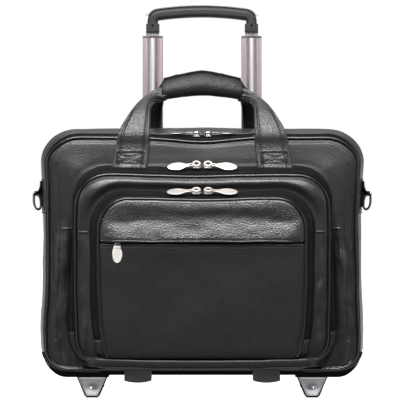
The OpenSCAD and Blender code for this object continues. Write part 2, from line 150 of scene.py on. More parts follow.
# A section is y, half width, bottom, top, bottom corner radius, top corner radius.
FRONT = np.array([PANEL_Y, pipe_hi[0] - PIPE, pipe_lo[2] + PIPE, pipe_hi[2] - PIPE, 28, 42])
MID = np.array([10, shell_hi[0], shell_lo[2], shell_hi[2] - 2, 32, 46])
REAR = np.array([BACK_Y, shell_hi[0] - 3, shell_lo[2], shell_hi[2], 32, 44])
COVER = np.array([cover_hi[1], cover_hi[0] - 10, shell_lo[2] + 6, cover_hi[2] - 8, 30, 38])
P1_BASE = np.array([PANEL_Y, p1_base_hi[0], p1_base_lo[2], p1_base_hi[2], 40, 46])
P1_FRONT = np.array([P1_Y, p1_hi[0] - PIPE, p1_base_lo[2], p1_hi[2] - PIPE, 40, 42])
P2_BASE = np.array([P1_Y, p2_base_hi[0], p2_base_lo[2], p2_base_hi[2], 8, 46])
P2_FRONT = np.array([P2_Y, p2_hi[0] - PIPE, p2_base_lo[2], p2_hi[2] - PIPE, 8, 40])


def section(knots, y):
    """The section at y, between the given sections."""
    knots = np.array(knots)
    return np.array([y] + [np.interp(y, knots[:, 0], knots[:, i]) for i in range(1, 6)])


def body_section(y):
    """The main compartment, which is a little fuller just behind its zip."""
    base = section([FRONT, MID, REAR, COVER], y)
    base[1] += 2.2 * math.exp(-((y - 8) / 34) ** 2) * (y > PART_Y + 8)
    return base


def p1_section(y):
    return section([P1_FRONT, P1_BASE], y)


def p2_section(y):
    return section([P2_FRONT, P2_BASE], y)


def outline(sec, grow, n=(16, 12, 30, 14, 20)):
    """Points round a section: from the bottom middle to +X, up, over the top and back down.
    n counts the points of half the bottom, the low corner, the side, the high corner and half the top."""
    y, hw, zb, zt, rb, rt = sec
    hw, zb, zt, rb, rt = hw + grow, zb - grow, zt + grow, max(rb + grow, 1), max(rt + grow, 1)

    def corner(cz, r, start, count):
        t = np.linspace(start, start + np.pi / 2, count, endpoint=False)
        return np.column_stack([hw - r + r * np.cos(t), cz + r * np.sin(t)])

    bottom = np.linspace(0, hw - rb, n[0], endpoint=False)
    side = np.linspace(zb + rb, zt - rt, n[2], endpoint=False)
    top = np.linspace(hw - rt, 0, n[4])
    half = np.vstack([
        np.column_stack([bottom, np.full_like(bottom, zb)]), corner(zb + rb, rb, -np.pi / 2, n[1]),
        np.column_stack([np.full_like(side, hw), side]), corner(zt - rt, rt, 0, n[3]),
        np.column_stack([top, np.full_like(top, zt)])])
    loop = np.vstack([half, half[1:-1][::-1] * (-1, 1)])
    return np.column_stack([loop[:, 0], np.full(len(loop), y), loop[:, 1]])


def edge_distance(sec, x, z):
    """How far inside a section's outline a point of its face is. Outside it is negative."""
    y, hw, zb, zt, rb, rt = sec
    r = np.where(z > (zb + zt) / 2, rt, rb)
    zc = np.where(z > (zb + zt) / 2, z - (zt - r), (zb + r) - z)
    qx = np.abs(x) - (hw - r)
    outer = np.hypot(np.maximum(qx, 0), np.maximum(zc, 0))
    return r - outer - np.minimum(np.maximum(qx, zc), 0)


# ---------------------------------------------------------------- how the leather hangs

def drift(P, scale, seeds):
    """A slow wander in x, y and z."""
    return np.stack([noise(P, scale, seed) for seed in seeds], axis=-1)


def body_drape(P):
    """The sides belly out low and high, the top sags at the front middle and the front lower edge rises."""
    Q = np.array(P, float)
    x, y, z = Q[..., 0].copy(), Q[..., 1].copy(), Q[..., 2].copy()
    side = np.sign(x) * smooth((np.abs(x) - 110) / 70)
    deep = smooth((PART_Y + 70 - y) / 30)
    belly = 3.0 * hump(z, 92, 46) + 2.8 * hump(z, 326, 34) - 0.8 * hump(z, 225, 55)
    Q[..., 0] += side * deep * belly
    top = smooth((z - 318) / 36)
    sag = 5.6 * hump(x, 0, 50) * smooth((-8 - y) / 34)
    lift = 1.9 * hump(x, 0, 150) * smooth((y + 6) / 34) * smooth((70 - y) / 20)
    Q[..., 2] += top * (lift - sag - 2.4 * smooth((-32 - y) / 10))
    Q[..., 2] += 5.0 * smooth((PART_Y + 6 - y) / 14) * smooth((74 - z) / 40)
    soft = smooth((z - 60) / 40)
    Q += drift(P, 62, (1, 2, 3)) * (1.1, 0.8, 0.9) * soft[..., None]
    return Q


def p1_drape(P):
    """The large pocket spreads towards its foot and dips at the top middle."""
    Q = np.array(P, float)
    x, z = Q[..., 0].copy(), Q[..., 2].copy()
    Q[..., 2] -= 2.4 * hump(x, 0, 75) * smooth((z - 250) / 45)
    base = (Q[..., 1] - P1_Y) / (PANEL_Y - P1_Y)
    side = np.sign(x) * smooth((np.abs(x) - 120) / 40)
    spread = smooth((210 - z) / 120) * (4.5 * base - 2.0 * (1 - base))
    Q[..., 0] += side * (1.2 * hump(z, 150, 70) + spread)
    return Q + drift(P, 48, (4, 5, 6)) * 0.8 * smooth((z - 56) / 30)[..., None]


def p2_drape(P):
    """The small pocket follows the large one and narrows towards its foot."""
    Q = p1_drape(P)
    x, z = Q[..., 0].copy(), Q[..., 2].copy()
    Q[..., 2] -= 1.6 * hump(x, 0, 62) * smooth((z - 235) / 30)
    Q[..., 0] -= np.sign(x) * 8.0 * smooth((128 - z) / 78) ** 1.6 * smooth((np.abs(x) - 95) / 35)
    return Q


BODY = (body_section, body_drape)
POCKET1 = (p1_section, p1_drape)
POCKET2 = (p2_section, p2_drape)


# ---------------------------------------------------------------- building pieces
#
# A look is (material, body, slot) or (material, body, slot, replaced nodes).

def place(name, data):
    """A new object in the scene."""
    ob = bpy.data.objects.new(name, data)
    bpy.context.scene.collection.objects.link(ob)
    return ob


def add_mesh(name, verts, faces, material, body, slot, replaces=(), flat=False):
    me = bpy.data.meshes.new(name)
    me.from_pydata((np.asarray(verts, float).reshape(-1, 3) * MM).tolist(), [], faces)
    me.validate()
    me.update()
    ob = place(name, me)
    if not flat:
        me.polygons.foreach_set("use_smooth", [True] * len(me.polygons))
    me.materials.append(material)
    if body:
        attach(ob, body)
    if replaces:
        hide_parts(*replaces)
    return ob


def grid_faces(nu, nv, wrap_u=False, wrap_v=False, flip=False):
    """Quads over a grid of nu by nv points."""
    iu = np.arange(nu if wrap_u else nu - 1)
    iv = np.arange(nv if wrap_v else nv - 1)
    a, b = np.meshgrid(iu, iv, indexing="ij")
    a2, b2 = (a + 1) % nu, (b + 1) % nv
    f = np.stack([a * nv + b, a2 * nv + b, a2 * nv + b2, a * nv + b2], axis=-1).reshape(-1, 4)
    return (f[:, ::-1] if flip else f).tolist()


def capped(rings, ring):
    """Faces of a closed tube: a grid of rings, with a cap at each end."""
    caps = [list(range(ring))[::-1], [(rings - 1) * ring + i for i in range(ring)]]
    return grid_faces(rings, ring, wrap_v=True) + caps


def solidify(ob, thick, offset=-1.0):
    """Gives a skin its thickness in mm: inwards at offset -1, both ways at 0."""
    m = ob.modifiers.new("thickness", "SOLIDIFY")
    m.thickness = thick * MM
    m.offset = offset
    m.use_even_offset = False
    return ob


def subdivide(ob):
    m = ob.modifiers.new("smooth", "SUBSURF")
    m.levels = m.render_levels = 1


def drop_loose(ob):
    """Deletes points that belong to no face."""
    bm = bmesh.new()
    bm.from_mesh(ob.data)
    loose = [v for v in bm.verts if not v.link_faces]
    bmesh.ops.delete(bm, geom=loose, context="VERTS")
    bm.to_mesh(ob.data)
    bm.free()


def face_out(ob, centre):
    """Turns an open skin's faces away from the given point, in mm."""
    c = np.array(centre) * MM
    me = ob.data
    score = sum(float(np.dot(np.array(p.normal), np.array(p.center) - c)) * p.area for p in me.polygons)
    if score < 0:
        me.flip_normals()
    return ob


CASE_CENTRE = (0, 10, 190)


def sheet(name, P, look, thick, keep=None, centre=CASE_CENTRE, wrap_u=False):
    """A skin over a grid of points, facing away from the centre. Only faces for which keep is true stay."""
    faces = grid_faces(*P.shape[:2], wrap_u=wrap_u)
    if keep is not None:
        flat = P.reshape(-1, 3)
        faces = [f for f in faces if keep(flat[f].mean(0))]
    ob = add_mesh(name, P, faces, *look)
    if keep is not None:
        drop_loose(ob)
    return solidify(face_out(ob, centre), thick)


def above(z):
    return lambda c: c[2] > z


def below(z):
    return lambda c: c[2] <= z


def side_skin(name, form, span, look, thick, grow=0.0, keep=None, crease=0.0, seed=0):
    """A band of skin that follows a form's outline. The span is (from y, to y, rings)."""
    section_at, drape = form
    rings = drape(np.stack([outline(section_at(y), grow) for y in np.linspace(*span)], axis=1))
    if crease:
        folds = noise(rings, (9, 40, 13), seed) + 0.5 * noise(rings, (4, 18, 6), seed + 1)
        out = rings - np.array([0, 0, 195.0])
        out[..., 1] = 0
        rings = rings + unit(out) * (crease * folds)[..., None]
    return sheet(name, rings, look, thick, keep, wrap_u=True)


def panel_points(sec, step, low, high):
    """A grid of (x, z) over a section's face, whose corner blocks are bent to its round corners."""
    y, hw, zb, zt, rb, rt = sec
    nu = int(2 * hw / step) + 1
    nv = int((high - low) / step) + 1
    x, z = np.meshgrid(np.linspace(-hw, hw, nu), np.linspace(low, high, nv), indexing="ij")
    X, Z = x.copy(), z.copy()
    for r, edge, sign in ((rt, zt, 1), (rb, zb, -1)):
        middle = edge - sign * r
        a = (np.abs(x) - (hw - r)) / r
        b = sign * (z - middle) / r
        m = (a > 0) & (b > 0)
        X = np.where(m, np.sign(x) * (hw - r + r * a * np.sqrt(np.clip(1 - b * b / 2, 0, 1))), X)
        Z = np.where(m, middle + sign * r * b * np.sqrt(np.clip(1 - a * a / 2, 0, 1)), Z)
    return X, Z


def panel(name, sec, depth, drape, look, step, low=None, high=None, outwards=-1, keep=None):
    """A face of skin over a section, raised by depth(x, z). Outwards is -1 at the front, 1 at the back."""
    X, Z = panel_points(sec, step, sec[2] if low is None else low, sec[3] if high is None else high)
    P = drape(np.stack([X, sec[0] + outwards * depth(X, Z), Z], axis=-1))
    return sheet(name, P, look, 2.0, keep, (0, sec[0] - outwards * 300, 190))


def tube(path, radius, ring=10, closed=False):
    """Vertices and faces of a round tube along a path. The radius may vary."""
    P = np.asarray(path, float)
    n = len(P)
    radius = np.broadcast_to(np.asarray(radius, float), (n,))
    T = unit(np.roll(P, -1, 0) - np.roll(P, 1, 0) if closed else np.gradient(P, axis=0))
    N = np.zeros_like(P)
    ref = np.array([0, 1.0, 0]) if abs(T[0][1]) < 0.9 else np.array([1.0, 0, 0])
    N[0] = unit(ref - T[0] * np.dot(ref, T[0]))
    for i in range(1, n):
        N[i] = unit(N[i - 1] - T[i] * np.dot(N[i - 1], T[i]))
    B = np.cross(T, N)
    a = around(ring)[None, :, None]
    V = P[:, None] + radius[:, None, None] * (np.cos(a) * N[:, None] + np.sin(a) * B[:, None])
    return V.reshape(-1, 3), grid_faces(n, ring, wrap_u=True, wrap_v=True) if closed else capped(n, ring)


class Heap:
    """Collects many small shapes into one mesh."""

    def __init__(self):
        self.verts, self.faces, self.count = [], [], 0

    def add(self, verts, faces, shift=(0, 0, 0)):
        verts = np.asarray(verts, float).reshape(-1, 3) + shift
        self.verts.append(verts)
        self.faces += [[i + self.count for i in f] for f in faces]
        self.count += len(verts)

    def build(self, name, *look, flat=False):
        return add_mesh(name, np.vstack(self.verts), self.faces, *look, flat=flat)


# Place along a stitch, width and height of the thread there.
STITCH = ((0.0, 0.45, -0.25), (0.25, 1.0, 0.22), (0.75, 1.0, 0.22), (1.0, 0.45, -0.25))
STITCH_FILL = 0.7


def spindle(heap, a, b, width, up):
    """One stitch from a to b: a short thread that dips at both ends."""
    t = b - a
    side = np.cross(t, up)
    side /= np.linalg.norm(side) + 1e-9
    rings = []
    for f, w, h in STITCH:
        c = a + t * f + up * h
        rings += [c + side * width * w, c + up * width * w, c - side * width * w, c - up * width * w]
    heap.add(rings, capped(len(STITCH), 4))


def resample(path, pitch):
    """Points along a path, one pitch apart."""
    P = np.asarray(path, float)
    s = np.concatenate([[0], np.cumsum(np.linalg.norm(np.diff(P, axis=0), axis=1))])
    n = max(int(s[-1] / pitch), 1)
    t = np.linspace(0, s[-1], n + 1)
    return np.column_stack([np.interp(t, s, P[:, k]) for k in range(3)])


def stitch_row(heap, path, up, pitch, width=0.42):
    Q = resample(path, pitch)
    for a, b in zip(Q[:-1], Q[1:]):
        spindle(heap, a, a + (b - a) * STITCH_FILL, width, up)


def face_stitches(heap, x, z, y, depth, drape, pitch=4.2):
    """A row of stitches on the face that stands out from y by depth(x, z)."""
    line = np.column_stack([x, y - depth(x, z), z])
    stitch_row(heap, drape(line) + 0.15 * FORWARD, FORWARD, pitch)


def open_run(line, keep):
    """The kept stretch of a closed line, from its first point on."""
    starts = np.flatnonzero(keep & ~np.roll(keep, 1))
    first = starts[0] if len(starts) else 0
    return np.roll(line, -first, 0)[:keep.sum()]


def catmull(points, per):
    """A smooth curve through the points, with per steps from each to the next."""
    P = np.asarray(points, float)
    P = np.vstack([2 * P[0] - P[1], P, 2 * P[-1] - P[-2]])
    out = []
    for a, b, c, d in zip(P[:-3], P[1:-2], P[2:-1], P[3:]):
        for t in np.linspace(0, 1, per, endpoint=False):
            bend = (2 * a - 5 * b + 4 * c - d) * t * t + (3 * b - a - 3 * c + d) * t ** 3
            out.append(0.5 * (2 * b + (c - a) * t + bend))
    out.append(P[-2])
    return np.array(out)


# ---------------------------------------------------------------- materials

def new_material(name):
    mat = bpy.data.materials.new(name)
    mat.use_nodes = True
    tree = mat.node_tree
    tree.nodes.clear()
    out = tree.nodes.new("ShaderNodeOutputMaterial")
    bsdf = tree.nodes.new("ShaderNodeBsdfPrincipled")
    tree.links.new(bsdf.outputs[0], out.inputs[0])
    coord = tree.nodes.new("ShaderNodeTexCoord")
    return mat, tree, bsdf, coord.outputs["Object"]


def plug(tree, node, inputs):
    """Links or sets a node's inputs."""
    for key, value in inputs.items():
        if isinstance(value, bpy.types.NodeSocket):
            tree.links.new(value, node.inputs[key])
        else:
            node.inputs[key].default_value = value


def add_node(tree, kind, inputs=None, **props):
    node = tree.nodes.new(kind)
    for k, v in props.items():
        setattr(node, k, v)
    plug(tree, node, inputs or {})
    return node


def stretched(tree, vec, scale):
    return add_node(tree, "ShaderNodeMapping", {"Vector": vec, "Scale": scale}).outputs[0]


def noise_tex(tree, vec, scale, detail, rough=0.55):
    ins = {"Vector": vec, "Scale": scale, "Detail": detail, "Roughness": rough}
    return add_node(tree, "ShaderNodeTexNoise", ins).outputs[0]


def ramp(tree, fac, *stops):
    """A colour ramp. A stop is (place, red, green, blue)."""
    node = add_node(tree, "ShaderNodeValToRGB", {"Fac": fac})
    while len(node.color_ramp.elements) < len(stops):
        node.color_ramp.elements.new(0.5)
    for e, (place, *rgb) in zip(node.color_ramp.elements, stops):
        e.position = place
        e.color = (*rgb, 1)
    return node.outputs[0]


def remap(tree, value, lo, hi, a, b):
    """Takes a..b to lo..hi."""
    ins = {"Value": value, "From Min": a, "From Max": b, "To Min": lo, "To Max": hi}
    return add_node(tree, "ShaderNodeMapRange", ins).outputs[0]


def math_node(tree, op, a, b=0.0, clamp=False):
    return add_node(tree, "ShaderNodeMath", {0: a, 1: b}, operation=op, use_clamp=clamp).outputs[0]


def weighed(tree, a, share_a, b, share_b):
    """share_a * a + share_b * b"""
    parts = [math_node(tree, "MULTIPLY", value, share) for value, share in ((a, share_a), (b, share_b))]
    return math_node(tree, "ADD", *parts)


def bump(tree, height, strength, distance, base=None):
    ins = {"Height": height, "Strength": strength, "Distance": distance}
    if base is not None:
        ins["Normal"] = base
    return add_node(tree, "ShaderNodeBump", ins).outputs[0]


def leather(name, dark, light, rough, grain, depth, strength, crease, specular, coat=0.0, coat_rough=0.3):
    """Pebbled leather: round grain over fine creases, a little duller where it is worn."""
    mat, tree, bsdf, vec = new_material(name)
    ins = {"Vector": vec, "Scale": float(grain), "Randomness": 1.0, "Smoothness": 0.35}
    cells = add_node(tree, "ShaderNodeTexVoronoi", ins, feature="SMOOTH_F1")
    pebble = math_node(tree, "SUBTRACT", 1.0, cells.outputs["Distance"], clamp=True)
    fine = noise_tex(tree, vec, grain * 2.3, 2.0)
    creases = noise_tex(tree, vec, 95.0, 5.0, 0.62)
    broad = noise_tex(tree, vec, 9.0, 3.0)
    normal = bump(tree, creases, crease, 0.0012)
    normal = bump(tree, weighed(tree, pebble, 0.9, fine, 0.35), strength, depth, normal)
    wear = weighed(tree, broad, 0.6, creases, 0.4)
    plug(tree, bsdf, {
        "Base Color": ramp(tree, weighed(tree, pebble, 0.5, broad, 0.6), (0.3, *dark), (0.85, *light)),
        "Roughness": remap(tree, wear, rough + 0.08, rough - 0.08, 0.35, 0.65),
        "Normal": normal, "Specular IOR Level": specular})
    if coat:
        plug(tree, bsdf, {"Coat Weight": coat, "Coat Roughness": coat_rough, "Coat Normal": normal})
    return mat


def fabric(name, dark, light, pitch, rough=0.85, specular=0.25, sheen=0.08):
    """Woven cloth: two crossing sets of threads and some fuzz."""
    mat, tree, bsdf, vec = new_material(name)
    threads = []
    for scale in ((1, 1, 1), (1, -1, -1)):
        ins = {"Vector": stretched(tree, vec, scale), "Scale": pitch * 0.5, "Distortion": 0.6, "Detail": 1.0}
        wave = add_node(tree, "ShaderNodeTexWave", ins, bands_direction="DIAGONAL")
        threads.append(wave.outputs["Fac"])
    weave = math_node(tree, "MULTIPLY", *threads)
    tint = weighed(tree, weave, 0.7, noise_tex(tree, vec, 1500.0, 2.0), 0.4)
    plug(tree, bsdf, {
        "Base Color": ramp(tree, tint, (0.15, *dark), (0.8, *light)), "Roughness": rough,
        "Normal": bump(tree, tint, 0.6, 0.0003), "Specular IOR Level": specular, "Sheen Weight": sheen})
    return mat


def plastic(name, dark, light, rough, grain=1400.0, depth=0.00012, specular=0.45):
    """Moulded plastic or rubber with a fine stipple."""
    mat, tree, bsdf, vec = new_material(name)
    stipple = noise_tex(tree, vec, grain, 2.0)
    broad = noise_tex(tree, vec, 22.0, 3.0)
    plug(tree, bsdf, {
        "Base Color": ramp(tree, broad, (0.3, *dark), (0.75, *light)),
        "Roughness": remap(tree, broad, rough - 0.06, rough + 0.06, 0.3, 0.7),
        "Normal": bump(tree, stipple, 0.45, depth), "Specular IOR Level": specular})
    return mat


def metal(name, dark, light, rough, hammer, scale, depth=0.00015, stretch=(1, 1, 1), metallic=1.0):
    """Metal with shallow dents, or brush lines where it is stretched."""
    mat, tree, bsdf, vec = new_material(name)
    dents = noise_tex(tree, stretched(tree, vec, stretch), scale, 3.0)
    broad = noise_tex(tree, vec, 60.0, 3.0)
    plug(tree, bsdf, {
        "Base Color": ramp(tree, broad, (0.3, *dark), (0.7, *light)),
        "Roughness": remap(tree, dents, rough - 0.05, rough + 0.07, 0.3, 0.7),
        "Normal": bump(tree, dents, hammer, depth), "Metallic": metallic})
    return mat


def tube_metal(name, centre_x, half_width):
    """Satin tube: tinted flats, a painted highlight down the middle rib and painted shade in the creases
    beside it.
    """
    mat, tree, bsdf, vec = new_material(name)
    x = add_node(tree, "ShaderNodeSeparateXYZ", {"Vector": vec}).outputs[0]
    off = math_node(tree, "SUBTRACT", math_node(tree, "ABSOLUTE", x), centre_x * MM)
    across = remap(tree, math_node(tree, "ABSOLUTE", off), 0.0, 1.0, 0.0, half_width * MM)
    brushed = noise_tex(tree, stretched(tree, vec, (900, 900, 7)), 1.0, 3.0)
    # Painted highlight on the rib and painted shade in the creases beside it; the flats lighten outwards and
    # darken again at the tube's edge.
    rib, rib_highlight_edge = (0.0, 0.95, 0.92, 0.93), (0.16, 0.66, 0.63, 0.645)
    crease, crease_shade_edge = (0.33, 0.11, 0.098, 0.103), (0.46, 0.085, 0.073, 0.077)
    flat, flat_edge = (0.52, 0.46, 0.38, 0.40), (0.9, 0.54, 0.446, 0.474)
    tube_edge = (0.985, 0.36, 0.30, 0.32)
    colour = ramp(tree, across, rib, rib_highlight_edge, crease, crease_shade_edge, flat, flat_edge, tube_edge)
    streak = ramp(tree, brushed, (0.2, 0.88, 0.88, 0.88), (0.8, 1.06, 1.06, 1.06))
    both = add_node(tree, "ShaderNodeMix", data_type="RGBA", blend_type="MULTIPLY")
    plug(tree, both, {0: 1.0, 6: colour, 7: streak})
    plug(tree, bsdf, {
        "Base Color": both.outputs[2], "Roughness": remap(tree, brushed, 0.26, 0.38, 0.3, 0.7),
        "Normal": bump(tree, brushed, 0.15, 0.00008), "Metallic": 0.85})
    return mat


TUBE_HALF = 14.2
TUBE_X = box("mid_tubes")[1][0] - TUBE_HALF
M_LEATHER = leather("pebbled_leather", (0.0014, 0.0014, 0.0016), (0.0055, 0.0055, 0.0062), 0.46, 700, 0.0005,
                    0.5, 0.12, 0.4, 0.25, 0.36)
M_GLOSS = leather("glazed_leather", (0.0014, 0.0014, 0.0016), (0.0055, 0.0055, 0.0062), 0.43, 600, 0.0006,
                  0.8, 0.10, 0.42, 0.42, 0.34)
M_SMOOTH = leather("smooth_leather", (0.004, 0.004, 0.0044), (0.010, 0.010, 0.011), 0.50, 900, 0.0002,
                   0.35, 0.08, 0.28)
M_PIPE = leather("piping_leather", (0.0012, 0.0012, 0.0015), (0.006, 0.006, 0.0068), 0.30, 700, 0.0002,
                 0.3, 0.15, 0.36, 0.28, 0.2)
M_HANDLE = leather("handle_leather", (0.003, 0.003, 0.0034), (0.011, 0.011, 0.012), 0.48, 560, 0.0006,
                   0.9, 0.2, 0.44, 0.14, 0.36)
M_WRAP = leather("padded_leather", (0.002, 0.002, 0.0023), (0.008, 0.008, 0.0088), 0.52, 640, 0.0006,
                 0.8, 0.4, 0.26, 0.05, 0.34)
M_FOLD = leather("folded_leather", (0.0015, 0.0015, 0.0018), (0.006, 0.006, 0.0066), 0.52, 700, 0.0004,
                 0.4, 0.2, 0.2)
# Leather darker and duller than the rest, so welts, inner piping, the grip's ridge seam and the screw discs
# read black: painted shade.
M_SHADED_LEATHER = leather("shaded_seam_leather", (0.0008, 0.0008, 0.0009), (0.0022, 0.0022, 0.0025), 0.6, 900, 0.0002,
                 0.3, 0.1, 0.06)
M_TAPE = fabric("zip_tape", (0.0016, 0.0016, 0.0018), (0.007, 0.007, 0.0076), 900, specular=0.1, sheen=0.0)
M_LINING = fabric("lining_cloth", (0.035, 0.036, 0.042), (0.10, 0.102, 0.115), 520)
M_THREAD = fabric("thread", (0.003, 0.003, 0.003), (0.016, 0.016, 0.017), 1600, 0.6)
M_TEETH = plastic("zip_teeth", (0.006, 0.006, 0.006), (0.016, 0.016, 0.017), 0.32, 900)
M_BASE = plastic("moulded_base", (0.0015, 0.0015, 0.0016), (0.004, 0.004, 0.0043), 0.55, specular=0.1)
M_RUBBER = plastic("bumper_rubber", (0.085, 0.085, 0.087), (0.14, 0.14, 0.143), 0.62, 1100, 0.0002)
M_GRIP = plastic("grip_rubber", (0.004, 0.004, 0.0045), (0.009, 0.009, 0.0099), 0.52, 1300, 0.00015, 0.3)
M_TYRE = plastic("tyre_rubber", (0.008, 0.008, 0.008), (0.020, 0.020, 0.021), 0.7, 700, 0.0003)
M_HUB = plastic("hub_plastic", (0.10, 0.10, 0.105), (0.17, 0.17, 0.175), 0.42)
M_COLLAR = plastic("collar_plastic", (0.03, 0.026, 0.028), (0.055, 0.05, 0.052), 0.45)
M_SILVER = plastic("silver_shell", (0.30, 0.30, 0.31), (0.40, 0.40, 0.41), 0.3, 2400, 0.00004, 0.6)
M_NICKEL = metal("satin_nickel", (0.27, 0.252, 0.235), (0.42, 0.398, 0.376), 0.36, 0.6, 420.0, 0.0005,
                 metallic=0.5)
M_CHROME = metal("bright_cover", (0.52, 0.515, 0.54), (0.70, 0.695, 0.725), 0.30, 0.03, 300.0, 0.0001,
                 metallic=0.6)
# A lighter, less metallic copy of the nickel for the slip pull, which faces the dark front of the room:
# painted reflection of light from the front.
M_LIT_NICKEL = metal("lightened_nickel", (0.43, 0.408, 0.386), (0.62, 0.592, 0.565), 0.42, 0.6, 420.0, 0.0005,
                metallic=0.25)
M_RING = metal("dark_nickel", (0.26, 0.25, 0.255), (0.42, 0.40, 0.41), 0.24, 0.15, 500.0)
BRUSHED = (1, 1, 0.03)
M_STEEL = metal("brushed_steel", (0.34, 0.34, 0.35), (0.5, 0.5, 0.51), 0.34, 0.25, 500.0, 0.0001, BRUSHED)
M_TUBE = tube_metal("ribbed_tube", TUBE_X, TUBE_HALF)
M_INNER = metal("inner_tube", (0.50, 0.47, 0.48), (0.66, 0.64, 0.65), 0.28, 0.2, 600.0, 0.0001, BRUSHED)

CAD_LOOKS = {
    M_BASE: ("base_tray", "tube_clamps", "top_bezel", "wheel_housings", "stand_feet"),
    M_STEEL: ("sleeve_tubes", "axles", "push_rods"),
    M_RUBBER: ("bumpers",),
    M_TUBE: ("mid_tubes",),
    M_COLLAR: ("mid_collars",),
    M_INNER: ("inner_tubes",),
    M_GRIP: ("grip_body",),
    M_SILVER: ("grip_cover", "release_button"),
    M_TYRE: ("tyre_left", "tyre_right"),
    M_HUB: ("hub_left", "hub_right"),
    M_RING: ("d_ring_left", "d_ring_right")}
for look, names in CAD_LOOKS.items():
    for node_name in names:
        me = nodes[node_name].data
        me.materials.clear()
        me.materials.append(look)


# ---------------------------------------------------------------- main compartment

well_lo, well_hi = box("wheel_housings")
tyre_lo, tyre_hi = box("tyre_right")
WELL_X = (tyre_hi[0] + tyre_lo[0]) / 2
WELL_RIM = 3.0


def outside_wells(c):
    """The wheel housings stand in openings of the leather."""
    across = abs(abs(c[0]) - WELL_X) < well_hi[0] - WELL_X - WELL_RIM
    return not (across and c[1] > well_lo[1] + WELL_RIM and c[2] < well_hi[2] - WELL_RIM)


CASE_LEATHER = (M_LEATHER, "case", "leather")
PANEL_LEATHER = (M_LEATHER, "front_panel", "leather")
# The welt looks use the darker leather: painted shade.
PANEL_SHADED = (M_SHADED_LEATHER, "front_panel", "piping_leather")
FLAP_LEATHER = (M_LEATHER, "pocket1_flap", "leather")
FLAP_SHADED = (M_SHADED_LEATHER, "pocket1_flap", "piping_leather")
REAR_ZIP = (PART_Y + GAP, PART_Y + ZIP, 4)
FRONT_ZIP = (PART_Y - ZIP, PART_Y - GAP, 4)

side_skin("rear_gusset", BODY, (PART_Y + ZIP, BACK_Y, 20), (*CASE_LEATHER, ("case_shell",)), 2.6,
          crease=0.35, seed=20, keep=outside_wells)
side_skin("rear_gusset_foot", BODY, REAR_ZIP, CASE_LEATHER, 2.4, keep=below(ZIP_LOW))
side_skin("main_tape_rear", BODY, REAR_ZIP, (M_TAPE, "case", "zip_tape", ("main_zip_rear",)), 1.4,
          grow=-0.8, keep=above(ZIP_LOW))
side_skin("cover_gusset", BODY, (BACK_Y, COVER[0], 9), (*CASE_LEATHER, ("back_cover",)), 2.6,
          crease=0.2, seed=26, keep=outside_wells)


def back_depth(x, z):
    d = edge_distance(COVER, x, z)
    waves = 0.9 * noise(flat_points(x, z), 70, 31) * smooth(d / 30)
    return 3.0 * (1 - np.exp(-np.maximum(d, 0) / 14)) + waves


panel("back_face", COVER, back_depth, body_drape, CASE_LEATHER, 4.2, outwards=1, keep=outside_wells)


def seam_loop(name, sec, y, drape, radius, look, grow, keep=None):
    """Piping round a section, as one rolled cord of leather with a little life in its line."""
    P = drape(outline(sec, grow, (26, 16, 52, 20, 40)) * (1, 0, 1) + (0, y, 0))
    if keep is not None:
        P = open_run(P, np.array([keep(p) for p in P]))
    verts, faces = tube(P, radius * (1 + 0.05 * noise(P, 14, 41)), closed=keep is None)
    return add_mesh(name, verts, faces, *look)


seam_loop("rear_piping", COVER, COVER[0] - 0.5, body_drape, 2.1, (M_PIPE, "case", "piping_leather"), -0.2)
seam_loop("front_edge_piping", FRONT, PANEL_Y - 0.6, body_drape, 1.8,
          (M_PIPE, "front_panel", "piping_leather", ("main_piping",)), 0.4)
# A near-black cord behind the front piping, painted shade for the gap there, and an inner piping in the same
# darker leather, painted shade in place of its highlight.
seam_loop("front_edge_welt", FRONT, PANEL_Y + 1.9, body_drape, 1.7, PANEL_SHADED, 1.9)
seam_loop("front_inner_piping", body_section(PANEL_Y + 8), PANEL_Y + 8.2, body_drape, 1.2, PANEL_SHADED, 0.2)

side_skin("front_gusset", BODY, (PANEL_Y, PART_Y - ZIP, 6), (*PANEL_LEATHER, ("front_panel",)), 2.4,
          crease=0.25, seed=22)
side_skin("front_gusset_foot", BODY, FRONT_ZIP, PANEL_LEATHER, 2.4, keep=below(ZIP_LOW))
side_skin("main_tape_front", BODY, FRONT_ZIP, (M_TAPE, "front_panel", "zip_tape", ("main_zip_front",)), 1.4,
          grow=-0.8, keep=above(ZIP_LOW))


def slack(P):
    """The lower front edge hangs in a shallow wave and rises towards its middle."""
    Q = body_drape(P)
    x = np.abs(P[..., 0])
    wave = -0.6 - 2.2 * hump(x, 150, 26) + 6.5 * smooth((146 - x) / 36)
    Q[..., 2] += wave + 1.0 * noise(P * (1, 0, 0), 34, 47)
    return Q


seam_loop("bottom_edge_piping", body_section(PART_Y + 12), PART_Y - 2.0, slack, 2.7,
          (M_SMOOTH, "case", "piping_leather"), -1.0, keep=lambda p: p[2] < 64)


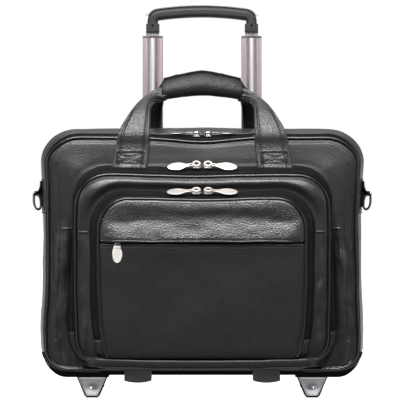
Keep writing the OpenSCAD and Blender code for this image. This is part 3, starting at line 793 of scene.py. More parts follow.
def front_depth(x, z):
    """How far the main front panel stands out from its edge seam."""
    d = np.maximum(edge_distance(FRONT, x, z), 0)
    gap = edge_distance(P1_BASE, x, z)
    P = flat_points(x, z)
    rise = 2.4 * (1 - np.exp(-d / 9.0))
    pocket_seam = 2.2 * np.exp(-np.abs(gap) / 7.0)
    bulge = 6.6 * smooth((350 - z) / 68) * smooth(d / 52) * smooth((z - 196) / 60)
    low = smooth((232 - z) / 30) * smooth(d / 10) * smooth(-gap / 6)
    puckers = 3.8 * noise(P, (7, 10, 70), 51) + 2.0 * noise(P, (4.5, 10, 26), 52)
    puckers += 0.8 * noise(P, (3, 10, 9), 54)
    roll = (3.8 + 2.4 * hump(z, 178, 24)) * (hump(d, 20, 7.5) - 0.3 * hump(d, 33, 4))
    side_roll = smooth((250 - z) / 40) * smooth((z - 84) / 44) * roll
    edge_groove = 0.9 * hump(d, 3.2, 1.4)
    under_pocket = smooth((gap - 2) / 12)
    out = rise - pocket_seam + bulge + low * puckers + side_roll - edge_groove
    return (out + 0.8 * noise(P, 60, 53) * smooth(d / 30)) * (1 - under_pocket)


panel("front_face", FRONT, front_depth, body_drape, PANEL_LEATHER, 3.2)


# ---------------------------------------------------------------- large pocket

def zip_side(name, form, span, body, tab, replaced, crease=0.0, seed=0):
    """One side of a pocket zip: cloth tape above the height of the tab, a leather tab below it."""
    side_skin(name + "_tape", form, span, (M_TAPE, body, "zip_tape", (replaced,)), 1.6,
              crease=crease, seed=seed, keep=above(tab))
    side_skin(name + "_tab", form, span, (M_LEATHER, body, "leather"), 1.8, 0.3, below(tab))


TAB1, TAB2 = 92.0, 86.0
zip_side("pocket1_back", POCKET1, (P1_PART + GAP, PANEL_Y - 1, 5), "front_panel", TAB1,
         "pocket1_back", 0.25, 60)
zip_side("pocket1_front", POCKET1, (P1_PART - ZIP, P1_PART - GAP, 4), "pocket1_flap", TAB1,
         "pocket1_zip_front")
side_skin("pocket1_gusset", POCKET1, (P1_Y, P1_PART - ZIP, 6),
          (M_FOLD, "pocket1_flap", "leather", ("pocket1_panel",)), 2.0, crease=0.3, seed=62)
# Near-black cord behind the pocket's piping and darker inner piping: painted shade along the seam.
seam_loop("pocket1_edge_welt", P1_FRONT, P1_Y + 1.7, p1_drape, 1.7, FLAP_SHADED, 1.7)
seam_loop("pocket1_edge_piping", P1_FRONT, P1_Y - 0.6, p1_drape, 1.8,
          (M_PIPE, "pocket1_flap", "piping_leather", ("pocket1_piping",)), 0.5)
seam_loop("pocket1_inner_piping", p1_section(P1_Y + 8), P1_Y + 8, p1_drape, 1.2, FLAP_SHADED, 0.3)


def pocket1_depth(x, z):
    """The large pocket's face rolls out round its edge and is held down by the small pocket's seam."""
    d = np.maximum(edge_distance(P1_FRONT, x, z), 0)
    gap = edge_distance(P2_BASE, x, z)
    P = flat_points(x, z)
    roll = 5.0 + 4.0 * smooth((z - 250) / 40)
    held = (roll - 2.6) * smooth((11 + gap) / 11)
    low = smooth((236 - z) / 24) * smooth(d / 6) * smooth(-gap / 4)
    puckers = 1.8 * noise(P, (6, 10, 50), 71) + 0.9 * noise(P, (4, 10, 14), 72)
    out = roll * (1 - np.exp(-d / 8.0)) - held - 0.7 * hump(d, 2.6, 1.4)
    return out + low * puckers + 0.7 * noise(P, 40, 73) * smooth(d / 16)


panel("pocket1_face", P1_FRONT, pocket1_depth, p1_drape, FLAP_LEATHER, 2.6)

# ---------------------------------------------------------------- small pocket

P2_ZIP = 4.0
P2_OPEN = P2_FRONT[2] + 2.5
zip_side("pocket2_back", POCKET2, (P2_PART + GAP, P1_Y - 1.5, 5), "pocket1_flap", TAB2,
         "pocket2_back", 0.2, 80)
zip_side("pocket2_front", POCKET2, (P2_PART - P2_ZIP, P2_PART - GAP, 3), "pocket2_flap", TAB2,
         "pocket2_zip_front")
side_skin("pocket2_gusset", POCKET2, (P2_Y, P2_PART - P2_ZIP, 5), (M_FOLD, "pocket2_flap", "leather"), 1.8,
          crease=0.2, seed=82)
# Near-black cord behind the small pocket's piping: painted shade along the seam.
seam_loop("pocket2_edge_welt", P2_FRONT, P2_Y + 1.9, p2_drape, 1.6,
          (M_SHADED_LEATHER, "pocket2_flap", "piping_leather"), 1.6, keep=above(P2_OPEN))
seam_loop("pocket2_edge_piping", P2_FRONT, P2_Y - 0.5, p2_drape, 1.8,
          (M_PIPE, "pocket2_flap", "piping_leather", ("pocket2_piping",)), 0.4, keep=above(P2_OPEN))

SLIP_Z = box("slip_panel")[1][2] + 0.8


def upper_depth(x, z):
    """The glazed upper panel rolls out of its top seam, falls in, then fills out over the slip pocket."""
    d = np.maximum(edge_distance(P2_FRONT, x, z), 0)
    t = (z - SLIP_Z) / (P2_FRONT[3] - SLIP_Z)
    P = flat_points(x, z)
    full = (4.2 * smooth((0.50 - t) / 0.45) - 1.2 * smooth((0.07 - t) / 0.07)) * smooth(d / 26)
    waves = 0.8 * noise(P, (44, 10, 16), 91) + 0.35 * noise(P, (16, 10, 9), 92)
    return 3.4 * (1 - np.exp(-d / 5.0)) - 1.4 * hump(t, 0.6, 0.2) + full + waves * smooth(d / 14)


def slip_depth(x, z):
    d = np.maximum(edge_distance(P2_FRONT, x, z), 0)
    lip = 3.4 * np.exp(-np.maximum(SLIP_Z - z, 0) / 30) * smooth(d / 26)
    waves = 0.5 * noise(flat_points(x, z), 60, 93) * smooth(d / 20)
    return 2.6 * (1 - np.exp(-d / 5.0)) + lip + waves - 0.9 * hump(z, SLIP_Z, 5)


panel("pocket2_upper_face", P2_FRONT, upper_depth, p2_drape,
      (M_GLOSS, "pocket2_flap", "leather", ("pocket2_panel",)), 2.2, low=SLIP_Z + 1.2)
panel("slip_face", P2_FRONT, slip_depth, p2_drape,
      (M_SMOOTH, "pocket2_flap", "smooth_leather", ("slip_panel",)), 2.6, high=SLIP_Z - 1.2)

# The cross section of a flat strip with rolled long edges, as (across, out).
STRIP = [(-1.0, -0.9), (-1.0, 0.1), (-0.86, 0.75), (-0.5, 1.0), (0, 1.05), (0.5, 1.0), (0.86, 0.75),
         (1.0, 0.1), (1.0, -0.9)]


def cross_bar(name, ends, zc, half, y_of, look, drape, proud=0.8, n=110):
    """A flat strip of folded leather running across a face between its two ends in x."""
    xs = np.linspace(*ends, n)
    rows = []
    for v, h in STRIP:
        z = np.full(n, zc + half * v)
        rows.append(np.column_stack([xs, y_of(xs, z) - proud * h, z]))
    return add_mesh(name, drape(np.stack(rows, axis=1)), capped(n, len(STRIP)), *look)


SLIP_W = P2_FRONT[1] - 3
SLIP_ENDS = (-SLIP_W, SLIP_W)
cross_bar("slip_mouth_edge", SLIP_ENDS, SLIP_Z + 2.0, 1.5, lambda x, z: P2_Y - upper_depth(x, z + 3),
          (M_PIPE, "pocket2_flap", "piping_leather"), p2_drape)
cross_bar("slip_lower_edge", SLIP_ENDS, SLIP_Z - 2.6, 1.3, lambda x, z: P2_Y - slip_depth(x, z - 2),
          (M_SMOOTH, "pocket2_flap", "smooth_leather"), p2_drape, proud=0.6)

SLIP_TOOTH = 2.2
teeth = Heap()
for i in range(int(2 * SLIP_W / SLIP_TOOTH)):
    c = p2_drape(np.array([[-SLIP_W + 2 + i * SLIP_TOOTH, P2_Y + 0.2, SLIP_Z - 0.2]]))[0]
    teeth.add(*tube([c - (0.7, 0, 0), c + (0.7, 0, 0)], 0.85, 6))
teeth.build("slip_zip_teeth", M_TEETH, "pocket2_flap", "zip_tape")

# ---------------------------------------------------------------- bottom band

BAND_ROUND = 3.0


def band_ring(x, grow):
    """One ring of the band: a block in y and z with round corners."""
    y0, y1 = band_lo[1] - grow + BAND_ROUND, band_hi[1] - BAND_ROUND
    z0, z1 = band_lo[2] - grow + BAND_ROUND, band_hi[2] + grow - BAND_ROUND
    pts = []
    for cy, cz, start in ((y0, z0, 180), (y1, z0, 270), (y1, z1, 0), (y0, z1, 90)):
        for a in np.radians(start + np.arange(5) * 22.5):
            pts.append((x, cy + BAND_ROUND * math.cos(a), cz + BAND_ROUND * math.sin(a)))
    return pts


P = np.array([band_ring(x, -0.2) for x in np.linspace(band_lo[0], band_hi[0], 90)])
x = np.abs(P[..., 0])
P[..., 2] += 1.4 * smooth((x - 60) / 80) - 1.2 * (1 - x / band_hi[0]) + 0.5 * noise(P, 26, 95)
P[..., 1] += 9.0 * smooth((x - (band_hi[0] - 14)) / 14) * smooth((-85 - P[..., 1]) / 8)
strip = add_mesh("bottom_strip", P, capped(*P.shape[:2]),
                 M_SMOOTH, "pocket1_flap", "leather", ("bottom_band",))
face_out(strip, (0, -88, 53))


# ---------------------------------------------------------------- zips and stitching

def teeth_row(name, form, y, body, z_low, side):
    """Coil teeth along a zip: one row on this side of the joint."""
    section_at, drape = form
    line = outline(section_at(y), 0.2, (26, 24, 60, 30, 60))
    pts = resample(drape(open_run(line, line[:, 2] > z_low)), 2.5)
    across = np.array([0, side * 1.0, 0])
    heap = Heap()
    for p, d in zip(pts, unit(np.gradient(pts, axis=0))):
        up = np.cross(d, across)
        up *= np.sign(np.dot(up, p - np.array([0, p[1], 190])) or 1)
        rings = []
        for c, w in ((p - across * 1.4, 0.55), (p + across * 1.2, 0.75)):
            rings += [c + d * w - up * 0.3, c + d * w + up * 0.8, c - d * w + up * 0.8, c - d * w - up * 0.3]
        heap.add(rings, capped(2, 4))
    return heap.build(name, M_TEETH, body, "zip_tape", flat=True)


for name, form, part, back_body, front_body, z_low in (
        ("main_teeth_", BODY, PART_Y, ("rear", "case"), ("front", "front_panel"), ZIP_LOW + 4),
        ("pocket1_teeth_", POCKET1, P1_PART, ("back", "front_panel"), ("front", "pocket1_flap"), TAB1),
        ("pocket2_teeth_", POCKET2, P2_PART, ("back", "pocket1_flap"), ("front", "pocket2_flap"), TAB2)):
    for (end, body), side in ((back_body, -1), (front_body, 1)):
        teeth_row(name + end, form, part - side * 1.7, body, z_low, side)


def edge_stitches(heap, sec, y, inset, depth, drape, z_low):
    """Stitches that follow the inside of a piped edge."""
    line = outline(sec, -inset, (20, 16, 50, 20, 50))
    line = open_run(line, line[:, 2] > z_low)
    face_stitches(heap, line[:, 0], line[:, 2], y, depth, drape)


heap = Heap()
edge_stitches(heap, FRONT, PANEL_Y, 5.5, front_depth, body_drape, 60)
for side in (-1, 1):
    for inset in (11.5, 15.0):
        z = np.linspace(FRONT[3] - 34, 84, 60)
        face_stitches(heap, np.full(60, side * (FRONT[1] - inset)), z, PANEL_Y, front_depth, body_drape)
    for z in (229.0, 226.0):
        xs = side * np.linspace(FRONT[1] - 17, P1_BASE[1] + 3, 14)
        face_stitches(heap, xs, np.full(14, z), PANEL_Y, front_depth, body_drape)
heap.build("front_face_stitches", M_THREAD, "front_panel", "zip_tape", flat=True)

heap = Heap()
edge_stitches(heap, P1_FRONT, P1_Y, 5.0, pocket1_depth, p1_drape, 66)
heap.build("pocket1_stitches", M_THREAD, "pocket1_flap", "zip_tape", flat=True)

heap = Heap()
line = outline(P2_FRONT, -4.6, (20, 16, 60, 20, 50))
line = line[line[:, 2] > SLIP_Z + 6]
line = line[np.argsort(np.arctan2(line[:, 2] - SLIP_Z, line[:, 0]))]
face_stitches(heap, line[:, 0], line[:, 2], P2_Y, upper_depth, p2_drape, 4.0)
for dz, depth in ((6.4, upper_depth), (-7.0, slip_depth)):
    face_stitches(heap, np.linspace(*SLIP_ENDS, 80), np.full(80, SLIP_Z + dz), P2_Y, depth, p2_drape, 4.0)
heap.build("pocket2_stitches", M_THREAD, "pocket2_flap", "zip_tape", flat=True)


def seam_ridge(name, x0, x1, z, depth, y, drape, look):
    """A lapped seam: the upper leather ends in a folded edge over the lower one."""
    cross_bar(name, sorted((x0, x1)), z, 1.5, lambda x, z: y - depth(x, z), look, drape, proud=0.9, n=20)


SIDES = ((-1, "left"), (1, "right"))
for side, tag in SIDES:
    seam_ridge("side_seam_" + tag, side * (FRONT[1] - 17), side * (P1_BASE[1] + 1), 231.5,
               front_depth, PANEL_Y, body_drape, PANEL_LEATHER)
    seam_ridge("pocket1_side_seam_" + tag, side * (P1_FRONT[1] - 5), side * (P2_BASE[1] + 0.5), 227.5,
               pocket1_depth, P1_Y, p1_drape, FLAP_LEATHER)
    z = np.linspace(FRONT[3] - 36, 78, 90)
    xs = np.full(90, side * (FRONT[1] - 13.2))
    line = np.column_stack([xs, PANEL_Y - front_depth(xs, z) + 0.4, z])
    verts, faces = tube(body_drape(line), 1.15, 8)
    add_mesh("edge_welt_" + tag, verts, faces, *PANEL_LEATHER)

# ---------------------------------------------------------------- carry handles

def sweep(near, far, half, profile):
    """A leather strap between two edge lines, where half gives its half thickness. The profile gives points
    (across, out) for a strap of unit size at a place along it, so it can change from flat to gathered."""
    C, W = (near + far) / 2, (far - near) / 2
    N = unit(np.cross(W, np.gradient(C, axis=0)))
    N *= np.where(N[:, 1] > 0, -1, 1)[:, None]
    last = len(C) - 1
    rings = []
    for k in range(last + 1):
        rings.append([C[k] + W[k] * u + N[k] * half[k] * v for u, v in profile(k / last)])
    P = np.array(rings)
    return P, capped(*P.shape[:2]), C, W, N


STRAP_POINTS = 72


def strap_profile(start, length, seed, ridge):
    """Flat with rolled edges up to the start. Over the length it gathers into a round, folded strap."""
    def profile(t):
        g = float(smooth((t - start) / length))
        out = []
        for i in range(STRAP_POINTS):
            a = 2 * math.pi * i / STRAP_POINTS
            c, s = math.cos(a), math.sin(a)
            u = math.copysign(abs(c) ** (0.5 + 0.5 * g), c)
            v = math.copysign(abs(s) ** (0.34 + 0.66 * g), s)
            rim, groove = 0.34 * hump(abs(u), 0.9, 0.07), 0.62 * hump(abs(u), 0.70, 0.05)
            v *= 1 + (1 - g) * (rim - groove + 0.34 * hump(u, 0, 0.6))
            fold = float(noise(np.array([6.0 * c, 6.0 * s, 9.0 * t]), 2.6, seed))
            k = 1 + ridge * g * fold
            out.append((u * k, v * k))
        return out
    return profile


def seam_distance(x, z, p, q):
    """Distance in the face from (x, z) to the seam from p to q."""
    d = np.subtract(q, p)
    t = np.clip(((x - p[0]) * d[0] + (z - p[1]) * d[1]) / (d @ d), 0, 1)
    return np.hypot(x - p[0] - t * d[0], z - p[1] - t * d[1])


def face_y(x, z):
    """Where the main front face is, in y."""
    x, z = np.atleast_1d(np.asarray(x, float)), np.atleast_1d(np.asarray(z, float))
    return float(body_drape(np.stack([x, PANEL_Y - front_depth(x, z), z], -1))[0][1])


grip_lo, grip_hi = box("front_handle_grip")
GRIP_X, GRIP_Z = grip_hi[0], grip_lo[2]
STRAP_X = box("front_handle_anchors")[1][0] - 23.0

# The outer and inner edge of a strap, as (x from STRAP_X, z). Its first points lie on the face of the case,
# the others stand at the given y.
STRAP_OUTER = [(28.8, 313.6), (24.6, 332), (22.2, 345), (20.0, 358), (15.4, 370), (8.8, 381), (1.8, 391.5),
               (-10.8, 406.2), (-23.2, 417.4), (-35.5, 423.6), (-44.5, 425.6)]
STRAP_INNER = [(-19.4, 313.6), (-21.6, 332), (-22.6, 345), (-23.2, 358), (-23.6, 371), (-23.7, 384),
               (-23.8, 394.5), (-26.6, 402.8), (-31.5, 404.8), (-37.5, 405.6), (-44.5, 407.6)]
ON_FACE = 3
STRAP_Y = [0] * ON_FACE + [-48.2, -43.8, -38.0, -30.0, -15.5, -7.0, -3.2, -2.0]
STRAP_HALF = [2.0, 2.0, 2.0, 2.1, 2.3, 2.8, 3.6, 6.4, 8.4, 9.0, 9.0]

# The sewn square with its cross, by which a strap is held to the case.
BOX_LOW, BOX_TOP, BOX_HALF, BOX_X = 318.6, 333.4, 17.0, 3.6
CORNERS = [(-BOX_HALF, BOX_LOW), (BOX_HALF, BOX_LOW), (BOX_HALF, BOX_TOP), (-BOX_HALF, BOX_TOP)]
SEAMS = [(CORNERS[i], CORNERS[j]) for i, j in ((0, 1), (1, 2), (2, 3), (3, 0), (0, 2), (1, 3))]


def strap_edge(edge, side):
    points = []
    for i, (dx, z) in enumerate(edge):
        x = side * (STRAP_X + dx)
        points.append((x, face_y(x, z) - 1.6 if i < ON_FACE else STRAP_Y[i], z))
    return catmull(points, 16)


def pressed_seams(P, C, N, half, side):
    """Pulls the strap's front in along the seams of the sewn square and lets it swell between them."""
    x, z = P[..., 0] - side * (STRAP_X + BOX_X), P[..., 2]
    near = np.min([seam_distance(x, z, p, q) for p, q in SEAMS], axis=0)
    front = smooth(np.sum((P - C[:, None]) * N[:, None], axis=-1) / (half[:, None] * 0.5))
    zone = front * smooth((BOX_TOP + 5 - z) / 3) * smooth((BOX_HALF + 4.5 - np.abs(x)) / 3)
    press = 0.7 * (1 - hump(near, 0, 3.2)) - 0.7 * hump(near, 0, 0.9)
    return P + N[:, None] * (zone * press)[..., None]


strap_heap = Heap()
strap_threads = Heap()
for side in (-1, 1):
    outer, inner = strap_edge(STRAP_OUTER, side), strap_edge(STRAP_INNER, side)
    half = np.interp(np.linspace(0, 1, len(outer)), np.linspace(0, 1, len(STRAP_HALF)), STRAP_HALF)
    P, faces, C, W, N = sweep(inner, outer, half, strap_profile(0.5, 0.36, 101 + side, 0.3))
    strap_heap.add(pressed_seams(P, C, N, half, side), faces)
    flat_part = range(int(len(C) * 0.62))
    for u in (0.665, -0.665, 0.60, -0.60):
        row = [C[k] + W[k] * -u + N[k] * (half[k] * 1.02 + 0.1) for k in flat_part]
        stitch_row(strap_threads, row, FORWARD, 3.8)
    for p, q in SEAMS:
        line = []
        for k in np.linspace(0, 1, 9):
            x, z = side * (STRAP_X + BOX_X) + p[0] + (q[0] - p[0]) * k, p[1] + (q[1] - p[1]) * k
            line.append((x, face_y(x, z) - 3.75, z))
        stitch_row(strap_threads, line, FORWARD, 3.4, 0.46)
straps = strap_heap.build("carry_straps", M_HANDLE, None, "leather",
                          ("front_handle_straps", "front_handle_anchors"))
threads = strap_threads.build("carry_strap_stitches", M_THREAD, None, "zip_tape", flat=True)


def bend_with(obj):
    """Bakes the piece's placement into its points."""
    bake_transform(obj)


for ob in (straps, threads):
    bend_with(ob)


def puff(ob, voxel, pressure, cap, frames):
    """Remeshes a closed pad and fills it with air as cloth, then keeps the result as the mesh."""
    m = ob.modifiers.new("remesh", "REMESH")
    m.mode = "VOXEL"
    m.voxel_size = voxel * MM
    apply_modifiers(ob)
    before = np.array([v.co for v in ob.data.vertices])
    c = ob.modifiers.new("cloth", "CLOTH")
    c.settings.use_pressure = True
    c.settings.uniform_pressure_force = pressure
    c.settings.effector_weights.gravity = 0
    c.settings.tension_stiffness = 25
    c.settings.bending_stiffness = 1.5
    c.point_cache.frame_start, c.point_cache.frame_end = 1, frames
    for i in range(1, frames + 1):
        bpy.context.scene.frame_set(i)
    apply_modifiers(ob)
    bpy.context.scene.frame_set(1)
    move = np.array([v.co for v in ob.data.vertices]) - before
    length = np.linalg.norm(move, axis=1)
    move *= np.minimum(1, cap * MM / np.maximum(length, 1e-9))[:, None]
    ob.data.vertices.foreach_set("co", (before + move).ravel())
    ob.data.polygons.foreach_set("use_smooth", [True] * len(ob.data.polygons))
    ob.data.update()
    subdivide(ob)


def apply_modifiers(ob):
    deps = bpy.context.evaluated_depsgraph_get()
    me = bpy.data.meshes.new_from_object(ob.evaluated_get(deps), depsgraph=deps)
    ob.modifiers.clear()
    ob.data = me


# The padded grip between the straps.
GRIP_HALF = GRIP_X - 1.5
GRIP_Y = (grip_lo[1] + grip_hi[1]) / 2
GRIP_THICK = 12.6
WRAP_IN = 1.0


def grip_top(x):
    """The height of the ridge, which falls towards the ends."""
    return grip_hi[2] - 1.0 - 11.5 * (abs(x) / GRIP_X) ** 1.3


GRIP_POINTS = 40


def grip_ring(x, shrink):
    """One ring of the padded wrap: round below, drawn up to a ridge on top."""
    top = grip_top(x) - shrink
    low = GRIP_Z + 4.4 - 6.4 * (abs(x) / GRIP_X) ** 1.7 + shrink
    mid = top * 0.42 + low * 0.58
    ring = []
    for i in range(GRIP_POINTS):
        a = 2 * math.pi * i / GRIP_POINTS
        c, s = math.cos(a), math.sin(a)
        if s > 0:
            y, z = c * GRIP_THICK * (1 - 0.30 * s ** 2.2), mid + (top - mid) * s ** 1.12
        else:
            y, z = c * GRIP_THICK, mid + (mid - low) * math.copysign(abs(s) ** 0.92, s)
        ring.append((x, GRIP_Y + y * (1 - shrink / GRIP_THICK), z))
    return ring


ends = [(GRIP_HALF, 2.6), (GRIP_HALF - 0.8, 1.4)]
middle = [(x, WRAP_IN) for x in np.linspace(-GRIP_HALF + 3, GRIP_HALF - 3, 40)]
rings = [(-x, shrink) for x, shrink in ends] + middle + ends[::-1]
P = np.array([grip_ring(x, shrink) for x, shrink in rings])
P[..., 2] += 0.5 * noise(P * (1, 0, 0), 13, 111)
gathers = 0.35 + 0.65 * smooth((np.abs(P[..., 0]) - GRIP_HALF + 22) / 18)
folds = 0.9 * noise(P, (5, 30, 16), 113) + 0.5 * noise(P, (3, 30, 9), 114)
P[..., 1] += gathers * np.sign(P[..., 1] - GRIP_Y) * folds
wrap = add_mesh("padded_grip", P, capped(*P.shape[:2]),
                M_WRAP, "front_handle", "leather", ("front_handle_grip",))
face_out(wrap, (0, GRIP_Y, 428))
puff(wrap, 3.0, 4.0, 3.0, 16)

# The seam along the ridge, as (across, up) round its cross section.
RIDGE = [(-1.7, -4.5), (-1.3, -1.0), (-1.1, 0.9), (-0.6, 1.7), (0, 1.9), (0.6, 1.7), (1.1, 0.9), (1.3, -1.0),
         (1.7, -4.5)]
fin_x = np.linspace(-GRIP_HALF + 1.0, GRIP_HALF - 1.0, 90)
fin_top = grip_top(fin_x)
wave = 0.45 * noise(flat_points(fin_x, 0 * fin_x), 9, 112)
rows = []
for u, h in RIDGE:
    rows.append(np.column_stack([fin_x, np.full_like(fin_x, GRIP_Y + u) + wave, fin_top + h + 0.5 * wave]))
P = np.stack(rows, axis=1)
# The ridge seam uses the darker leather: painted shade on a part that faces up into the light.
add_mesh("grip_seam", P, capped(*P.shape[:2]), M_SHADED_LEATHER, "front_handle", "leather")
heap = Heap()
line = np.column_stack([fin_x, np.full_like(fin_x, GRIP_Y - 3.6), fin_top - 3.4])
stitch_row(heap, line, np.array([0, -0.8, 0.6]), 3.8)
heap.build("grip_stitches", M_THREAD, "front_handle", "zip_tape", flat=True)

# A folded rim at each end of the grip, as (from GRIP_HALF, shrink).
RIM = ((-2.5, 2.2), (-0.6, 1.1), (0.7, 1.9), (0.2, 3.4), (-2.5, 3.6))
for side, tag in SIDES:
    P = np.array([grip_ring(side * (GRIP_HALF + dx), shrink) for dx, shrink in RIM])
    faces = grid_faces(*P.shape[:2], wrap_v=True)
    rim = add_mesh("grip_rim_" + tag, P, faces, M_FOLD, "front_handle", "leather")
    face_out(rim, (side * (GRIP_HALF - 3), GRIP_Y, 428))

# The rear carry handle leans forward against the front one. A knot is x, y, z, half width, half thickness.
REAR_KNOTS = np.array([
    (72, 50, 361, 13.5, 1.8), (72, 50.5, 371, 13.5, 1.8), (69, 47, 384, 11.8, 2.0),
    (65, 39, 398, 9.6, 3.0), (61, 32, 409.5, 7.4, 5.0), (57, 28, 420, 6.6, 6.2),
    (50, 25.5, 429, 6.8, 7.2), (39.5, 24, 434.5, 7.8, 8.0), (26, 24, 437, 8.6, 8.6),
    (13, 24, 438, 9.0, 9.0), (-2, 24, 438, 9.2, 9.2)])
heap = Heap()
for side in (-1, 1):
    knots = REAR_KNOTS * (side, 1, 1, 1, 1)
    path = catmull(knots[:, :3], 9)
    places, t = np.linspace(0, 1, len(knots)), np.linspace(0, 1, len(path))
    lump = 1 + 0.10 * noise(path, 7, 121) * smooth((t - 0.4) / 0.2)
    half_width = np.interp(t, places, knots[:, 3]) * lump
    half_thick = np.interp(t, places, knots[:, 4]) * lump
    reach = unit(np.cross(unit(np.gradient(path, axis=0)), FORWARD)) * half_width[:, None]
    heap.add(*sweep(path - reach, path + reach, half_thick, strap_profile(0.30, 0.3, 121 + side, 0.25))[:2])
rear = heap.build("rear_carry_handle", M_FOLD, None, "leather", ("rear_handle", "rear_handle_anchors"))
bend_with(rear)


# ---------------------------------------------------------------- shoulder strap rings

def local(points, origin, X, Y, Z):
    """Points given in the axes X, Y and Z from the origin."""
    Q = np.asarray(points, float)
    return origin + Q[..., :1] * X + Q[..., 1:2] * Y + Q[..., 2:3] * Z


PATCH_Y, PATCH_Z = (-14.0, 8.5), (250.0, 300.0)
RING_TURN = 22.0
# The leather loop that holds a ring, folded round it, and the cross section of the loop's strap.
tail = [(-4.6, 4.6), (-6.6, 10)]
bow = [(2.75 * math.cos(a), 2.75 * math.sin(a)) for a in np.radians(np.arange(-125, 126, 25))]
LOOP = [(-7.2, -19)] + [(x, -z) for x, z in tail[::-1]] + bow + tail + [(-7.2, 17)]
LOOP_STRAP = [(-6.6, 0), (-6.3, 0.75), (6.3, 0.75), (6.6, 0), (6.3, -0.75), (-6.3, -0.75)]


def side_stitches(heap, side, ys, zs):
    """A row of stitches on the side of the case, over the ring patch."""
    line = [(side * (body_section(y)[1] + 1.15), y, z) for y, z in np.broadcast(ys, zs)]
    stitch_row(heap, body_drape(np.array(line)), np.array([side, 0, 0.0]), 3.6)


for side, tag in SIDES:
    yy, zz = np.meshgrid(np.linspace(*PATCH_Y, 16), np.linspace(*PATCH_Z, 30), indexing="ij")
    edge = np.min([yy - PATCH_Y[0], PATCH_Y[1] - yy, zz - PATCH_Z[0], PATCH_Z[1] - zz], axis=0)
    xx = np.array([body_section(y)[1] for y in yy.ravel()]).reshape(yy.shape)
    base = body_drape(np.stack([side * xx, yy, zz], -1))
    base[..., 0] += side * (0.1 + 1.0 * np.sqrt(np.clip(edge / 2.2, 0, 1)))
    replaced = ("ring_tabs",) if side < 0 else ()
    sheet("ring_patch_" + tag, base, (M_HANDLE, "case", "leather", replaced), 2.2, centre=(0, 0, 275))

    pos = np.array(joints["ring_%s_swing" % tag]["pos_m"]) * 1000
    turn = side * math.radians(RING_TURN)
    Y = np.array([-math.sin(turn), math.cos(turn), 0])
    X = np.array([math.cos(turn), math.sin(turn), 0]) * side
    Z = np.array([0, 0, 1.0])
    C = catmull([(x, 0, z) for x, z in LOOP], 3)
    T = unit(np.gradient(C, axis=0))
    N = np.column_stack([T[:, 2], 0 * T[:, 0], -T[:, 0]])
    P = np.array([[c + n * v + np.array([0, u, 0]) for u, v in LOOP_STRAP] for c, n in zip(C, N)])
    add_mesh("ring_loop_" + tag, local(P, pos, X, Y, Z), capped(*P.shape[:2]), M_HANDLE, "case", "leather")

    heap = Heap()
    for y in (-12.2, 6.7):
        side_stitches(heap, side, y, np.linspace(252, 298, 14))
    for z in (252, 263, 296, 298.2):
        side_stitches(heap, side, np.linspace(-12.2, 6.7, 8), z)
    heap.build("ring_patch_stitches_" + tag, M_THREAD, "case", "zip_tape", flat=True)


# ---------------------------------------------------------------- zip sliders and pulls

def slab(points, t, r, dome=0.0):
    """A plate from a closed outline in local (x, y), with rounded rims and a crowned face each way."""
    P = np.asarray(points, float)
    n = len(P)
    T = unit(np.roll(P, -1, 0) - np.roll(P, 1, 0))
    out = np.column_stack([T[:, 1], -T[:, 0]])
    c = P.mean(0)
    if np.sum(np.sum(out * (P - c), axis=1)) < 0:
        out = -out
    rim = []
    for a in np.radians((-90, -60, -30, 0, 30, 60, 90)):
        z = (t / 2 - r) * np.sign(a) + r * math.sin(a)
        rim.append(np.column_stack([P - out * r * (1 - math.cos(a)), np.full(n, z)]))

    def face(ring, k, sign):
        return np.column_stack([c + (ring[:, :2] - c) * k, np.full(n, sign * (t / 2 + dome * (1 - k * k)))])

    low = [face(rim[0], k, -1) for k in (0.15, 0.45, 0.75)]
    high = [face(rim[-1], k, 1) for k in (0.75, 0.45, 0.15)]
    rings = low + rim + high
    return np.vstack(rings), capped(len(rings), n)


def oval(a, b):
    t = around(44)
    return np.column_stack([a * np.cos(t), b * np.sin(t)])


def tilted(v, lean):
    """Turns points about the x axis by an angle in degrees."""
    c, s = math.cos(math.radians(lean)), math.sin(math.radians(lean))
    return np.column_stack([v[:, 0], v[:, 1] * c - v[:, 2] * s, v[:, 1] * s + v[:, 2] * c])


def loop_ring(cx, cy, a, b, r, n=28, ring=10):
    t = around(n)
    return tube(np.column_stack([cx + a * np.cos(t), cy + b * np.sin(t), 0 * t]), r, ring, closed=True)


PIVOT = 5.2


def slider_shape(lean):
    """Two stacked plates, narrower at the tail, and a crown ring on two posts that holds the pull."""
    heap = Heap()
    t = around(40)
    x = 6.0 * squared(np.cos(t), 0.7)
    y = 4.5 * squared(np.sin(t), 0.6) * (1 - 0.16 * smooth((x + 2) / 7) - 0.08 * hump(x, 0, 2))
    plate = np.column_stack([x, y])
    heap.add(*slab(plate, 1.5, 0.6, 0.15), shift=(0, 0, 2.1))
    heap.add(*slab(plate * 0.96, 1.0, 0.4), shift=(0, 0, 0.9))
    verts, faces = loop_ring(-0.2, 0.9, 4.5, 3.3, 1.65)
    heap.add(tilted(verts, lean), faces, shift=(0, 0, PIVOT))
    for post_x in (-3.6, 3.2):
        heap.add(*tube([(post_x, 0, 2.2), (post_x, 0.2, PIVOT - 0.6)], 1.25, 10))
    return heap


